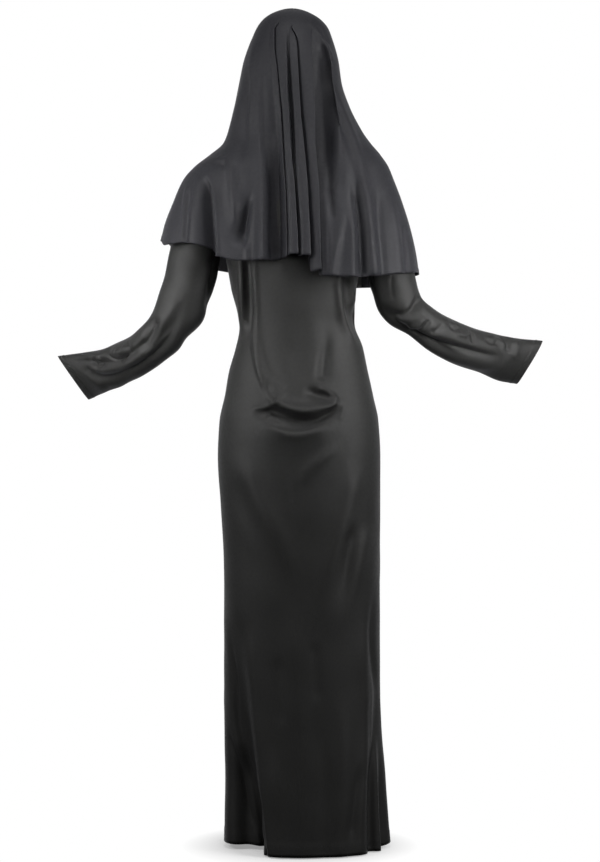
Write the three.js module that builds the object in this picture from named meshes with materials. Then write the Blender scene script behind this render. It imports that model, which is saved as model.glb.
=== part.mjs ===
import * as THREE from "three";

// A nun's costume, worn and hollow: a long black habit with set-in sleeves held out to the sides, a white bib
// collar on its chest, and a black veil that falls from the crown over the shoulders. Millimetres, +Z up.
// The front faces -Y, the garment's own left is +X, and the origin is the middle of the neck opening.

const CLOTH = 1.5; // thickness of each cloth wall
const SEAM = 0.3; // gap between two pieces where they are sewn together
const RAD = Math.PI / 180;

const HABIT_BLACK = 0x2b2b2c;
const VEIL_BLACK = 0x37373b;
const COLLAR_WHITE = 0xe9e8e4;

// The habit's sections below the underarm. At each height: the section's middle and half its width, how far
// it reaches back and forward, and its squareness, where 2 is an ellipse.
const HABIT_SECTIONS = [
  { z: -190, middle: 10, half: 146, back: 108, front: 116, square: 2.5 },
  { z: -235, middle: 12, half: 136, back: 108, front: 123, square: 2.5 },
  { z: -280, middle: 13, half: 127, back: 106, front: 118, square: 2.5 },
  { z: -330, middle: 8, half: 119, back: 101, front: 104, square: 2.5 },
  { z: -355, middle: 6, half: 117, back: 99, front: 98, square: 2.5 },
  { z: -402, middle: 1, half: 129, back: 99, front: 97, square: 2.4 },
  { z: -450, middle: 3, half: 141, back: 107, front: 100, square: 2.3 },
  { z: -500, middle: 2, half: 151, back: 119, front: 104, square: 2.3 },
  { z: -548, middle: 2, half: 161, back: 129, front: 108, square: 2.3 },
  { z: -621, middle: 2, half: 165, back: 134, front: 111, square: 2.3 },
  { z: -719, middle: -1, half: 162, back: 134, front: 114, square: 2.3 },
  { z: -865, middle: -4, half: 158, back: 133, front: 118, square: 2.3 },
  { z: -1108, middle: -4, half: 158, back: 136, front: 126, square: 2.2 },
  { z: -1279, middle: -9, half: 161, back: 143, front: 140, square: 2.2 },
  { z: -1408, middle: -11, half: 165, back: 150, front: 155, square: 2.2 },
];
const UNDERARM_Z = HABIT_SECTIONS[0].z;

// The habit's hem: it trails behind and is a little shorter in front. Angles run round from the middle of the
// back (0) by the left side (90) to the middle of the front (180) and by the right side (-90).
const HABIT_HEM = [
  { angle: -180, z: -1396 },
  { angle: -105, z: -1391 },
  { angle: -85, z: -1399 },
  { angle: -62, z: -1408 },
  { angle: 40, z: -1408 },
  { angle: 66, z: -1400 },
  { angle: 180, z: -1396 },
];
const HEM_STRETCH_FROM_Z = -1108; // above this height the rows are level

// Neckline and shoulder seams.
const NECK = { half: 90, back: 66, front: 72, z: 10, rise: 6, drop: 46 };
const SHOULDER = { half: 150, z: -4 };
const NECK_SHARE = 0.45; // the share of the top row that is neckline, the rest being shoulder seams
const ARMHOLE_ROWS = 8; // rows from the shoulder seam to the underarm

// Bands of rows down the habit, closest where the back pools over the seat.
const HABIT_ROWS = [
  { to: -310, back: 40, front: 40 },
  { to: -440, back: 32, front: 43 },
  { to: -590, back: 13, front: 50 },
  { to: -710, back: 40, front: 60 },
  { to: -1108, back: 80, front: 100 },
  { to: -1408, back: 43, front: 43 },
];
const BACK_COLUMNS = [
  -90, -80, -73, -67, -60, -54, -48, -42, -36, -30, -24, -18, -12, -6, 0, 6, 12, 18, 24, 30, 36, 42, 48, 54, 61, 69,
  79, 90,
];
const FRONT_COLUMNS = [90, 105, 120, 135, 149, 162, 175, 187, 199, 211, 223, 235, 246, 254, 262, 270];

// Folds towards the hem, as ridges (+) and troughs (-). Each drifts from one angle to another between two
// heights, with its depth there, and has half its width in degrees.
const HABIT_FOLDS = [
  { topZ: -900, topAngle: 60, topDepth: 0, endZ: -1408, endAngle: 52, endDepth: -66, width: 15 },
  { topZ: -950, topAngle: 42, topDepth: 3, endZ: -1408, endAngle: 31, endDepth: 5, width: 7 },
  { topZ: -1000, topAngle: -60, topDepth: 0, endZ: -1408, endAngle: -56, endDepth: -13, width: 5 },
  { topZ: -1150, topAngle: -66, topDepth: 0, endZ: -1408, endAngle: -63, endDepth: 5, width: 4 },
  { topZ: -1150, topAngle: -74, topDepth: 0, endZ: -1408, endAngle: -71, endDepth: -14, width: 4.5 },
  { topZ: -1000, topAngle: -86, topDepth: 0, endZ: -1408, endAngle: -84, endDepth: 8, width: 7 },
  { topZ: -900, topAngle: 150, topDepth: 0, endZ: -1408, endAngle: 152, endDepth: 11, width: 13 },
  { topZ: -900, topAngle: -168, topDepth: 0, endZ: -1408, endAngle: -166, endDepth: -11, width: 13 },
  { topZ: -900, topAngle: -138, topDepth: 0, endZ: -1408, endAngle: -140, endDepth: 8, width: 12 },
];

// Folds of the back as lines of [x, z] seen from behind, with half their width: the upright ones beside the
// shoulder blades, the ones where the cloth pools over the seat, and the long soft ones of the skirt.
const BACK_FOLDS = [
  { line: [[118, -190], [119, -300], [118, -380]], width: 7, depth: 4 },
  { line: [[108, -190], [107, -300], [102, -400]], width: 7, depth: -7 },
  { line: [[98, -190], [93, -300], [89, -365], [75, -457], [55, -503], [44, -515]], width: 9, depth: 8 },
  { line: [[70, -400], [58, -450], [30, -492]], width: 14, depth: -5 },
  { line: [[-77, -190], [-79, -284], [-83, -345], [-101, -386], [-122, -420]], width: 9, depth: 7 },
  { line: [[-89, -190], [-91, -284], [-98, -350]], width: 7, depth: -6 },
  { line: [[-99, -190], [-103, -284], [-112, -335]], width: 7, depth: 4 },
  { line: [[-54, -280], [-57, -371], [-47, -467]], width: 14, depth: -6 },
  { line: [[-2, -478], [-34, -482], [-64, -508]], width: 14, depth: -10 },
  { line: [[64, -486], [38, -514], [-16, -526], [-50, -518], [-82, -500]], width: 13, depth: 13 },
  { line: [[92, -522], [48, -526], [6, -549], [-34, -540], [-84, -510]], width: 13, depth: -13 },
  { line: [[98, -520], [60, -560], [6, -574], [-44, -562], [-94, -530]], width: 18, depth: 10 },
  { line: [[-81, -585], [-35, -633], [20, -690]], width: 18, depth: 4 },
  { line: [[122, -600], [87, -700], [37, -792], [0, -903]], width: 24, depth: 4 },
  { line: [[-122, -620], [-91, -741], [-55, -873], [-41, -980]], width: 20, depth: 4 },
  { line: [[-108, -745], [-95, -840], [-78, -940]], width: 12, depth: -4 },
  { line: [[-142, -745], [-112, -857], [-82, -970]], width: 14, depth: 4 },
];

// Each sleeve's sections down the arm, as seen from behind: the outer and the inner edge, the middle's place
// from back to front, and half the section's depth. The armhole itself comes first and is the habit's.
const LEFT_SLEEVE = [
  { outerX: 187, outerZ: -18, innerX: 161, innerZ: -203, y: 2, half: 47 },
  { outerX: 212, outerZ: -40, innerX: 162, innerZ: -214, y: 4, half: 51 },
  { outerX: 232, outerZ: -67, innerX: 163, innerZ: -224, y: 5, half: 53 },
  { outerX: 247, outerZ: -101, innerX: 164, innerZ: -234, y: 6, half: 54 },
  { outerX: 256, outerZ: -142, innerX: 165, innerZ: -246, y: 8, half: 54 },
  { outerX: 263, outerZ: -195, innerX: 167, innerZ: -262, y: 10, half: 53 },
  { outerX: 273, outerZ: -250, innerX: 174, innerZ: -284, y: 13, half: 52 },
  { outerX: 285, outerZ: -293, innerX: 184, innerZ: -312, y: 16, half: 50 },
  { outerX: 298, outerZ: -328, innerX: 199, innerZ: -350, y: 15, half: 48 },
  { outerX: 318, outerZ: -355, innerX: 228, innerZ: -378, y: 5, half: 46 },
  { outerX: 346, outerZ: -380, innerX: 262, innerZ: -407, y: -15, half: 44 },
  { outerX: 379, outerZ: -394, innerX: 301, innerZ: -437, y: -45, half: 41 },
  { outerX: 418, outerZ: -404, innerX: 348, innerZ: -463, y: -88, half: 39 },
  { outerX: 462, outerZ: -408, innerX: 398, innerZ: -486, y: -134, half: 36 },
  { outerX: 511, outerZ: -412, innerX: 446, innerZ: -503, y: -178, half: 31 },
];
const RIGHT_SLEEVE = [
  { outerX: -159, outerZ: -19, innerX: -141, innerZ: -204, y: 2, half: 47 },
  { outerX: -175, outerZ: -43, innerX: -140, innerZ: -217, y: 4, half: 51 },
  { outerX: -188, outerZ: -74, innerX: -139, innerZ: -229, y: 6, half: 53 },
  { outerX: -201, outerZ: -114, innerX: -138, innerZ: -242, y: 9, half: 54 },
  { outerX: -213, outerZ: -160, innerX: -137, innerZ: -256, y: 13, half: 54 },
  { outerX: -224, outerZ: -208, innerX: -139, innerZ: -272, y: 18, half: 52 },
  { outerX: -233, outerZ: -256, innerX: -146, innerZ: -293, y: 24, half: 50 },
  { outerX: -245, outerZ: -300, innerX: -158, innerZ: -328, y: 28, half: 48 },
  { outerX: -269, outerZ: -322, innerX: -181, innerZ: -355, y: 25, half: 46 },
  { outerX: -300, outerZ: -341, innerX: -217, innerZ: -377, y: 12, half: 44 },
  { outerX: -339, outerZ: -359, innerX: -259, innerZ: -400, y: -12, half: 42 },
  { outerX: -377, outerZ: -369, innerX: -304, innerZ: -422, y: -41, half: 40 },
  { outerX: -418, outerZ: -374, innerX: -355, innerZ: -443, y: -74, half: 38 },
  { outerX: -463, outerZ: -379, innerX: -408, innerZ: -464, y: -107, half: 35 },
  { outerX: -507, outerZ: -382, innerX: -453, innerZ: -472, y: -135, half: 31 },
];

// Creases of the sleeves, from one section to another. Angles run round from the outer edge (0) by the back
// (90) to the inner edge (180), and widths are in degrees.
const LEFT_SLEEVE_FOLDS = [
  { from: 1, fromAngle: 150, to: 8, toAngle: 150, depth: -7, width: 14 },
  { from: 8, fromAngle: 95, to: 15, toAngle: 40, depth: -9, width: 20 },
  { from: 9, fromAngle: 40, to: 11, toAngle: 75, depth: -6, width: 16 },
  { from: 12, fromAngle: 10, to: 13.6, toAngle: 80, depth: -8, width: 18 },
];
const RIGHT_SLEEVE_FOLDS = [
  { from: 1, fromAngle: 155, to: 7, toAngle: 155, depth: -5, width: 12 },
  { from: 7.5, fromAngle: 145, to: 12, toAngle: 105, depth: -8, width: 18 },
  { from: 8, fromAngle: 30, to: 9, toAngle: 100, depth: -6, width: 18 },
  { from: 12.4, fromAngle: 20, to: 13.8, toAngle: 110, depth: -8, width: 18 },
];

// The veil's sections. At each height: its left and right reach, how far it reaches back and forward from the
// habit's middle plane, its squareness, and the angle at which the edge of the face opening stands.
const VEIL_SECTIONS = [
  { z: 288, left: 17, right: 17, back: 0, front: 0, square: 2, edge: 180 },
  { z: 284, left: 41, right: -7, back: 12, front: 42, square: 2, edge: 180 },
  { z: 276, left: 60, right: -25, back: 29, front: 62, square: 2, edge: 180 },
  { z: 264, left: 76, right: -43, back: 46, front: 80, square: 2, edge: 180 },
  { z: 246, left: 89, right: -58, back: 63, front: 95, square: 2, edge: 180 },
  { z: 228, left: 97, right: -65, back: 74, front: 104, square: 2, edge: 180 },
  { z: 219, left: 101, right: -68, back: 78, front: 107, square: 2, edge: 158 },
  { z: 203, left: 107, right: -73, back: 84, front: 110, square: 2.1, edge: 143 },
  { z: 178, left: 115, right: -79, back: 91, front: 110, square: 2.1, edge: 131 },
  { z: 134, left: 124, right: -85, back: 98, front: 104, square: 2.2, edge: 122 },
  { z: 85, left: 134, right: -101, back: 103, front: 98, square: 2.3, edge: 119 },
  { z: 36, left: 146, right: -126, back: 108, front: 96, square: 2.3, edge: 124 },
  { z: 12, left: 156, right: -143, back: 112, front: 98, square: 2.3, edge: 130 },
  { z: -12, left: 183, right: -164, back: 117, front: 103, square: 2.3, edge: 137 },
  { z: -37, left: 215, right: -181, back: 122, front: 112, square: 2.4, edge: 143 },
  { z: -61, left: 236, right: -191, back: 127, front: 121, square: 2.4, edge: 148 },
  { z: -110, left: 258, right: -209, back: 135, front: 134, square: 2.5, edge: 154 },
  { z: -158, left: 275, right: -223, back: 141, front: 141, square: 2.5, edge: 157 },
  { z: -207, left: 284, right: -233, back: 145, front: 144, square: 2.5, edge: 158 },
  { z: -272, left: 288, right: -242, back: 147, front: 144, square: 2.5, edge: 158 },
];
const VEIL_TOP_Z = VEIL_SECTIONS[0].z;
const FACE_TOP_Z = 228; // the top of the face opening
const VEIL_LEVEL_Z = 12; // below this height the rows lean towards the hem
const VEIL_LEAN_ROWS = 9;
const VEIL_GATHER = 3; // how sharply the columns gather towards the sides, where more is sharper
const VEIL_DRIFT = 0.03; // how far the columns lean to the left going up, for each millimetre of height

// The veil's hem: short on the left, where the cloth spreads over the shoulder, and longer on the right.
const VEIL_HEM = [
  { angle: -180, z: -272 },
  { angle: -140, z: -270 },
  { angle: -90, z: -250 },
  { angle: -55, z: -257 },
  { angle: -20, z: -266 },
  { angle: -12, z: -257 },
  { angle: -8, z: -228 },
  { angle: 0, z: -223 },
  { angle: 15, z: -237 },
  { angle: 29, z: -231 },
  { angle: 36, z: -208 },
  { angle: 55, z: -190 },
  { angle: 84, z: -180 },
  { angle: 104, z: -185 },
  { angle: 126, z: -214 },
  { angle: 180, z: -243 },
];

// The veil's hanging folds, as ridges (+) and troughs (-) at an angle: where each begins, where it has its
// whole depth, and half its width in degrees.
const VEIL_FOLDS = [
  { angle: 62, startZ: 0, fullZ: -190, width: 5, depth: 7 },
  { angle: 53, startZ: -20, fullZ: -190, width: 4, depth: -6 },
  { angle: 46, startZ: 0, fullZ: -190, width: 4, depth: 5 },
  { angle: 39, startZ: -10, fullZ: -200, width: 4, depth: -20 },
  { angle: 33, startZ: 10, fullZ: -200, width: 4, depth: 8 },
  { angle: 24, startZ: 20, fullZ: -120, width: 3, depth: 4 },
  { angle: 20, startZ: -20, fullZ: -170, width: 4, depth: -14 },
  { angle: 16, startZ: 60, fullZ: -150, width: 2, depth: 6 },
  { angle: 8.5, startZ: 100, fullZ: -170, width: 4, depth: -14 },
  { angle: 3, startZ: 225, fullZ: 20, width: 2.2, depth: 5 },
  { angle: -3.7, startZ: 190, fullZ: 40, width: 1.4, depth: -22 },
  { angle: -6.6, startZ: 235, fullZ: 60, width: 1.6, depth: 5 },
  { angle: -9.3, startZ: 235, fullZ: 40, width: 1.3, depth: -17 },
  { angle: -11.8, startZ: 150, fullZ: 0, width: 1.7, depth: 6 },
  { angle: -14.4, startZ: 60, fullZ: -120, width: 1.5, depth: -10 },
  { angle: -19.6, startZ: 225, fullZ: 30, width: 4, depth: -8 },
  { angle: -24, startZ: 60, fullZ: -180, width: 3.5, depth: 6 },
  { angle: -32, startZ: 200, fullZ: -160, width: 5, depth: -16 },
  { angle: -38.5, startZ: 120, fullZ: -120, width: 3.5, depth: 8 },
  { angle: -44, startZ: 0, fullZ: -200, width: 3.5, depth: -9 },
  { angle: -50, startZ: -20, fullZ: -200, width: 4, depth: 5 },
  { angle: -60, startZ: -20, fullZ: -220, width: 4.5, depth: -8 },
  { angle: -72, startZ: -60, fullZ: -230, width: 5, depth: 5 },
  { angle: 110, startZ: -60, fullZ: -220, width: 8, depth: -8 },
  { angle: -112, startZ: -60, fullZ: -230, width: 8, depth: -8 },
  { angle: 135, startZ: -40, fullZ: -220, width: 8, depth: 5 },
  { angle: -135, startZ: -40, fullZ: -230, width: 8, depth: 5 },
];
const VEIL_COLUMN_STEP = 13; // the widest step between two columns of the veil, in degrees

// The bib collar lies on the habit's front, between two of its columns, and hangs clear of it below the bust.
const COLLAR = { from: 105, to: 254, lift: 0.4, bottomZ: -270, hangLeft: 2, hangRight: 14 };

// A smooth curve through one column of a table, with no overshoot between its rows.
function curveOf(rows, key, name) {
  const sorted = [...rows].sort((a, b) => a[key] - b[key]);
  const xs = sorted.map((row) => row[key]);
  const ys = sorted.map((row) => row[name]);
  const last = xs.length - 1;
  const steps = xs.slice(1).map((x, i) => (ys[i + 1] - ys[i]) / (x - xs[i]));
  const slopes = ys.map((_, i) => {
    if (i === 0) return steps[0];
    if (i === last) return steps[last - 1];
    const product = steps[i - 1] * steps[i];
    return product <= 0 ? 0 : (2 * product) / (steps[i - 1] + steps[i]);
  });
  return (x) => {
    if (x <= xs[0]) return ys[0];
    if (x >= xs[last]) return ys[last];
    let i = 0;
    while (x > xs[i + 1]) i += 1;
    const span = xs[i + 1] - xs[i];
    const t = (x - xs[i]) / span;
    const rise = t * t * (3 - 2 * t);
    const leave = t * (1 - t) * (1 - t) * span * slopes[i];
    const arrive = t * t * (t - 1) * span * slopes[i + 1];
    return ys[i] + (ys[i + 1] - ys[i]) * rise + leave + arrive;
  };
}

// Every column of a table but its key, as curves, read together at one place.
function sectionsOf(rows, key) {
  const names = Object.keys(rows[0]).filter((name) => name !== key);
  const curves = names.map((name) => curveOf(rows, key, name));
  return (x) => Object.fromEntries(names.map((name, i) => [name, curves[i](x)]));
}

const habitSection = sectionsOf(HABIT_SECTIONS, "z");
const habitHemZ = curveOf(HABIT_HEM, "angle", "z");
const veilSection = sectionsOf(VEIL_SECTIONS, "z");
const veilHemZ = curveOf(VEIL_HEM, "angle", "z");

const lerp = (a, b, t) => a + (b - a) * t;
const clamp01 = (t) => Math.min(1, Math.max(0, t));
const ease = (t) => clamp01(t) ** 2 * (3 - 2 * clamp01(t));
const bell = (offset, width) => Math.exp(-((offset / width) ** 2));
// The difference between two angles in degrees, from -180 to 180.
const turnBetween = (a, b) => ((((a - b + 180) % 360) + 360) % 360) - 180;

// A point of a rounded section at an angle in degrees, before its folds.
function roundPoint(middle, half, back, front, square, angle) {
  const side = Math.sin(angle * RAD);
  const ahead = Math.cos(angle * RAD);
  const reach = ahead >= 0 ? back : -front;
  const y = reach * (1 - Math.min(1, Math.abs(side)) ** square) ** (1 / square);
  return new THREE.Vector2(middle + half * side, Math.abs(ahead) < 1e-9 ? 0 : y);
}

// Moves a point of a section in or out along the line from the section's middle.
function pushed(point, middle, amount) {
  const out = new THREE.Vector2(point.x - middle, point.y);
  return point.clone().add(out.normalize().multiplyScalar(amount));
}

// How deep the habit's long folds are at an angle and a height.
function habitFoldDepth(angle, z) {
  return HABIT_FOLDS.reduce((sum, fold) => {
    const down = (fold.topZ - z) / (fold.topZ - fold.endZ);
    if (down <= 0 || (down >= 1.25 && fold.endZ > HEM_STRETCH_FROM_Z)) return sum;
    const at = lerp(fold.topAngle, fold.endAngle, clamp01(down));
    const fadeIn = ease(down / 0.15);
    const fadeOut = fold.endZ > HEM_STRETCH_FROM_Z ? ease((1.25 - down) / 0.25) : 1;
    const depth = lerp(fold.topDepth, fold.endDepth, clamp01(down) ** 1.4);
    return sum + depth * fadeIn * fadeOut * bell(turnBetween(angle, at), fold.width);
  }, 0);
}

// How far a point seen from behind is from a line, and how far along the line its nearest place is (0 to 1).
function nearestOnLine(line, x, z) {
  let best = { distance: Infinity, along: 0 };
  for (let i = 0; i + 1 < line.length; i += 1) {
    const [ax, az] = line[i];
    const [bx, bz] = line[i + 1];
    const t = clamp01(((x - ax) * (bx - ax) + (z - az) * (bz - az)) / ((bx - ax) ** 2 + (bz - az) ** 2));
    const distance = Math.hypot(x - lerp(ax, bx, t), z - lerp(az, bz, t));
    if (distance < best.distance) best = { distance, along: (i + t) / (line.length - 1) };
  }
  return best;
}

// How deep the folds of the back are at a point.
function backFoldDepth(x, z) {
  return BACK_FOLDS.reduce((sum, fold) => {
    const { distance, along } = nearestOnLine(fold.line, x, z);
    const taper = ease(along / 0.2) * ease((1 - along) / 0.2);
    return sum + fold.depth * taper * bell(distance, fold.width);
  }, 0);
}

// A point of the habit below the underarm.
function habitPoint(angle, z) {
  const s = habitSection(z);
  const base = roundPoint(s.middle, s.half, s.back, s.front, s.square, angle);
  const behind = ease(Math.cos(angle * RAD) / 0.3);
  const depth = habitFoldDepth(angle, z) + behind * backFoldDepth(base.x, z);
  const point = pushed(base, s.middle, depth);
  return new THREE.Vector3(point.x, point.y, z);
}

// The top row of the front or the back: the shoulder seams with the neckline between them.
function topPoint(across, facing) {
  const middle = HABIT_SECTIONS[0].middle;
  const side = Math.sign(across);
  const share = Math.abs(across);
  if (share >= NECK_SHARE) {
    const t = (share - NECK_SHARE) / (1 - NECK_SHARE);
    return new THREE.Vector3(middle + side * lerp(NECK.half, SHOULDER.half, t), 0, lerp(NECK.z, SHOULDER.z, t));
  }
  const turn = (across / NECK_SHARE) * (Math.PI / 2);
  const depth = facing > 0 ? NECK.back : -NECK.front;
  const lift = facing > 0 ? NECK.rise : -NECK.drop;
  const x = middle + NECK.half * Math.sin(turn);
  return new THREE.Vector3(x, depth * Math.cos(turn), NECK.z + lift * Math.cos(turn) ** 2);
}

// A point of the habit above the underarm, between the top row (down 0) and the underarm's row (down 1).
function yokePoint(across, down, facing) {
  const top = topPoint(across, facing);
  const angle = facing > 0 ? across * 90 : 180 - across * 90;
  const end = habitPoint(angle, UNDERARM_Z);
  const reach = top.distanceTo(end);
  const armhole = ease((Math.abs(across) - 0.7) / 0.3);
  const neck = 1 - ease((Math.abs(across) - 0.3) / 0.3);
  const leave = new THREE.Vector3(0, facing * (1 - 0.45 * neck), -0.1 - 0.7 * neck).multiplyScalar(reach);
  const arrive = new THREE.Vector3(0, -facing * armhole, -1 + 0.6 * armhole).multiplyScalar(reach);
  const t = down;
  return new THREE.Vector3()
    .addScaledVector(top, 1 - t * t * (3 - 2 * t))
    .addScaledVector(end, t * t * (3 - 2 * t))
    .addScaledVector(leave, t * (1 - t) ** 2)
    .addScaledVector(arrive, t * t * (t - 1));
}

// The heights of a panel's rows below the underarm.
function habitHeights(facing) {
  const heights = [UNDERARM_Z];
  for (const band of HABIT_ROWS) {
    const from = heights[heights.length - 1];
    const count = Math.round((from - band.to) / (facing > 0 ? band.back : band.front));
    for (let i = 1; i <= count; i += 1) heights.push(lerp(from, band.to, i / count));
  }
  return heights;
}

// Rows near the hem lean so that the last one follows it.
function leaningZ(z, angle) {
  const bottom = HABIT_SECTIONS[HABIT_SECTIONS.length - 1].z;
  const share = clamp01((HEM_STRETCH_FROM_Z - z) / (HEM_STRETCH_FROM_Z - bottom));
  return z + share * (habitHemZ(angle) - bottom);
}

// One panel of the habit as rows of points: facing is 1 for the back and -1 for the front.
function habitRows(columns, facing) {
  const rows = [];
  const apart = new THREE.Vector3(0, (facing * SEAM) / 2, 0);
  for (let row = 0; row < ARMHOLE_ROWS; row += 1) {
    rows.push(
      columns.map((angle) => {
        const across = facing > 0 ? angle / 90 : (180 - angle) / 90;
        return yokePoint(across, row / ARMHOLE_ROWS, facing).add(apart);
      }),
    );
  }
  for (const z of habitHeights(facing)) {
    rows.push(columns.map((angle) => habitPoint(angle, leaningZ(z, turnBetween(angle, 0))).add(apart)));
  }
  return rows;
}

// Triangles of a grid of points, with pairs of rows joined right round where closed says so.
function gridFaces(rowCount, columnCount, indexAt, closed = () => false) {
  const faces = [];
  for (let row = 0; row + 1 < rowCount; row += 1) {
    const last = closed(row) ? columnCount : columnCount - 1;
    for (let column = 0; column < last; column += 1) {
      const next = (column + 1) % columnCount;
      const [a, b] = [indexAt(row, column), indexAt(row, next)];
      const [c, d] = [indexAt(row + 1, column), indexAt(row + 1, next)];
      for (const face of [[a, b, d], [a, d, c]]) {
        if (new Set(face).size === 3) faces.push(face);
      }
    }
  }
  return faces;
}

// Cloth as a closed wall: the outer points, the same points moved in by the thickness, and a rim between them
// along every open edge. trim may correct the direction in which a point is moved.
function clothGeometry(points, faces, thickness, trim = (normal) => normal) {
  const normals = points.map(() => new THREE.Vector3());
  for (const [a, b, c] of faces) {
    const ab = points[b].clone().sub(points[a]);
    const ac = points[c].clone().sub(points[a]);
    const areaNormal = ab.cross(ac);
    for (const corner of [a, b, c]) normals[corner].add(areaNormal);
  }
  const inner = points.map((point, i) => {
    const normal = trim(normals[i].normalize(), i).normalize();
    return point.clone().addScaledVector(normal, -thickness);
  });
  const count = points.length;
  const solid = [];
  const edges = new Map();
  for (const [a, b, c] of faces) {
    solid.push([a, b, c], [a + count, c + count, b + count]);
    for (const [from, to] of [[a, b], [b, c], [c, a]]) {
      if (!edges.delete(`${to}_${from}`)) edges.set(`${from}_${to}`, [from, to]);
    }
  }
  for (const [from, to] of edges.values()) {
    solid.push([to, from, from + count], [to, from + count, to + count]);
  }
  const geometry = new THREE.BufferGeometry();
  geometry.setFromPoints([...points, ...inner]);
  geometry.setIndex(solid.flat());
  geometry.computeVertexNormals();
  return geometry;
}

function clothMesh(name, geometry, colour, roughness) {
  const material = new THREE.MeshStandardMaterial({ color: colour, roughness, metalness: 0 });
  material.side = THREE.DoubleSide;
  const mesh = new THREE.Mesh(geometry, material);
  mesh.name = name;
  return mesh;
}

// The front or the back of the habit. Walls at the shoulder and side seams end square to the seam, and those
// at the armholes never lean out towards the sleeve.
function habitPanel(name, columns, facing) {
  const rows = habitRows(columns, facing);
  const width = columns.length;
  const trim = (normal, i) => {
    const row = Math.floor(i / width);
    const column = i % width;
    const side = column === 0 || column === width - 1;
    const point = rows[row][column];
    const outward = Math.sign(point.x - HABIT_SECTIONS[0].middle);
    if (side && row >= ARMHOLE_ROWS) normal.y = 0;
    if (row === 0 && Math.abs(point.y) < SEAM) normal.y = 0;
    if (side && row <= ARMHOLE_ROWS && normal.x * outward < 0) normal.x = 0;
    return normal;
  };
  const faces = gridFaces(rows.length, width, (row, column) => row * width + column);
  return clothMesh(name, clothGeometry(rows.flat(), faces, CLOTH, trim), HABIT_BLACK, 0.55);
}

// The armhole as a loop of points that the sleeve is sewn to, from the shoulder round and back.
function armholeLoop(side) {
  const edge = (facing) => {
    const rows = Array.from({ length: ARMHOLE_ROWS + 1 }, (_, row) => row / ARMHOLE_ROWS);
    return rows.map((down) => yokePoint(side, down, facing));
  };
  const [first, second] = side > 0 ? [edge(-1), edge(1)] : [edge(1), edge(-1)];
  const loop = [...first, ...second.slice(1, -1).reverse()];
  return loop.map((point) => point.add(new THREE.Vector3(side * SEAM, 0, 0)));
}

// How deep a sleeve's creases are, at a section and an angle from the outer edge by the back.
function sleeveFoldDepth(folds, station, angle) {
  return folds.reduce((sum, fold) => {
    const along = (station - fold.from) / (fold.to - fold.from);
    if (along <= 0 || along >= 1) return sum;
    const at = lerp(fold.fromAngle, fold.toAngle, along);
    const taper = ease(along / 0.25) * ease((1 - along) / 0.25);
    return sum + fold.depth * taper * bell(turnBetween(angle, at), fold.width);
  }, 0);
}

// A sleeve: a tube from the armhole down the arm to its wide cuff.
function sleeveMesh(name, side, stations, folds) {
  const around = 2 * ARMHOLE_ROWS;
  const middles = stations.map((s) => new THREE.Vector3((s.outerX + s.innerX) / 2, s.y, (s.outerZ + s.innerZ) / 2));
  const rings = stations.map((s, i) => {
    const before = middles[Math.max(0, i - 1)];
    const after = middles[Math.min(stations.length - 1, i + 1)];
    const ahead = after.clone().sub(before).normalize();
    const across = new THREE.Vector3((s.outerX - s.innerX) / 2, 0, (s.outerZ - s.innerZ) / 2);
    const backward = new THREE.Vector3().crossVectors(across, ahead).normalize();
    if (backward.y < 0) backward.negate();
    const toCuff = clamp01((i + 4 - stations.length) / 3);
    backward.lerp(new THREE.Vector3(0, 1, 0), toCuff).normalize();
    return Array.from({ length: around }, (_, k) => {
      const angle = (k / around) * 360;
      const byBack = side > 0 ? 360 - angle : angle;
      const out = across
        .clone()
        .multiplyScalar(Math.cos(byBack * RAD))
        .addScaledVector(backward, s.half * Math.sin(byBack * RAD));
      const depth = sleeveFoldDepth(folds, i + 1, byBack);
      return middles[i].clone().add(out).addScaledVector(out.clone().normalize(), depth);
    });
  });
  const rows = [armholeLoop(side), ...rings];
  const trim = (normal, i) => (i < around ? normal.setX(0) : normal);
  const faces = gridFaces(rows.length, around, (row, column) => row * around + column, () => true);
  return clothMesh(name, clothGeometry(rows.flat(), faces, CLOTH, trim), HABIT_BLACK, 0.55);
}

// The angles of the veil's columns: every fold's middle and flanks, and more wherever the step is wide.
function veilColumns() {
  const wanted = VEIL_FOLDS.flatMap((fold) => [fold.angle - fold.width, fold.angle, fold.angle + fold.width]);
  const centres = new Set(VEIL_FOLDS.map((fold) => fold.angle));
  const sorted = [-180, 180, ...wanted].sort((a, b) => a - b);
  const kept = [];
  for (const angle of sorted) {
    const before = kept[kept.length - 1];
    if (kept.length && angle - before < 1.2) {
      if (centres.has(angle) && !centres.has(before) && before > -180) kept[kept.length - 1] = angle;
    } else kept.push(angle);
  }
  kept[kept.length - 1] = 180;
  return kept.flatMap((angle, i) => {
    if (i + 1 === kept.length) return [angle];
    const count = Math.ceil((kept[i + 1] - angle) / VEIL_COLUMN_STEP);
    return Array.from({ length: count }, (_, k) => lerp(angle, kept[i + 1], k / count));
  });
}

// How deep the veil's folds are at an angle and a height.
function veilFoldDepth(angle, z) {
  return VEIL_FOLDS.reduce((sum, fold) => {
    const grown = ease((fold.startZ - z) / (fold.startZ - fold.fullZ));
    return sum + fold.depth * grown * bell(angle - fold.angle, fold.width);
  }, 0);
}

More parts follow.
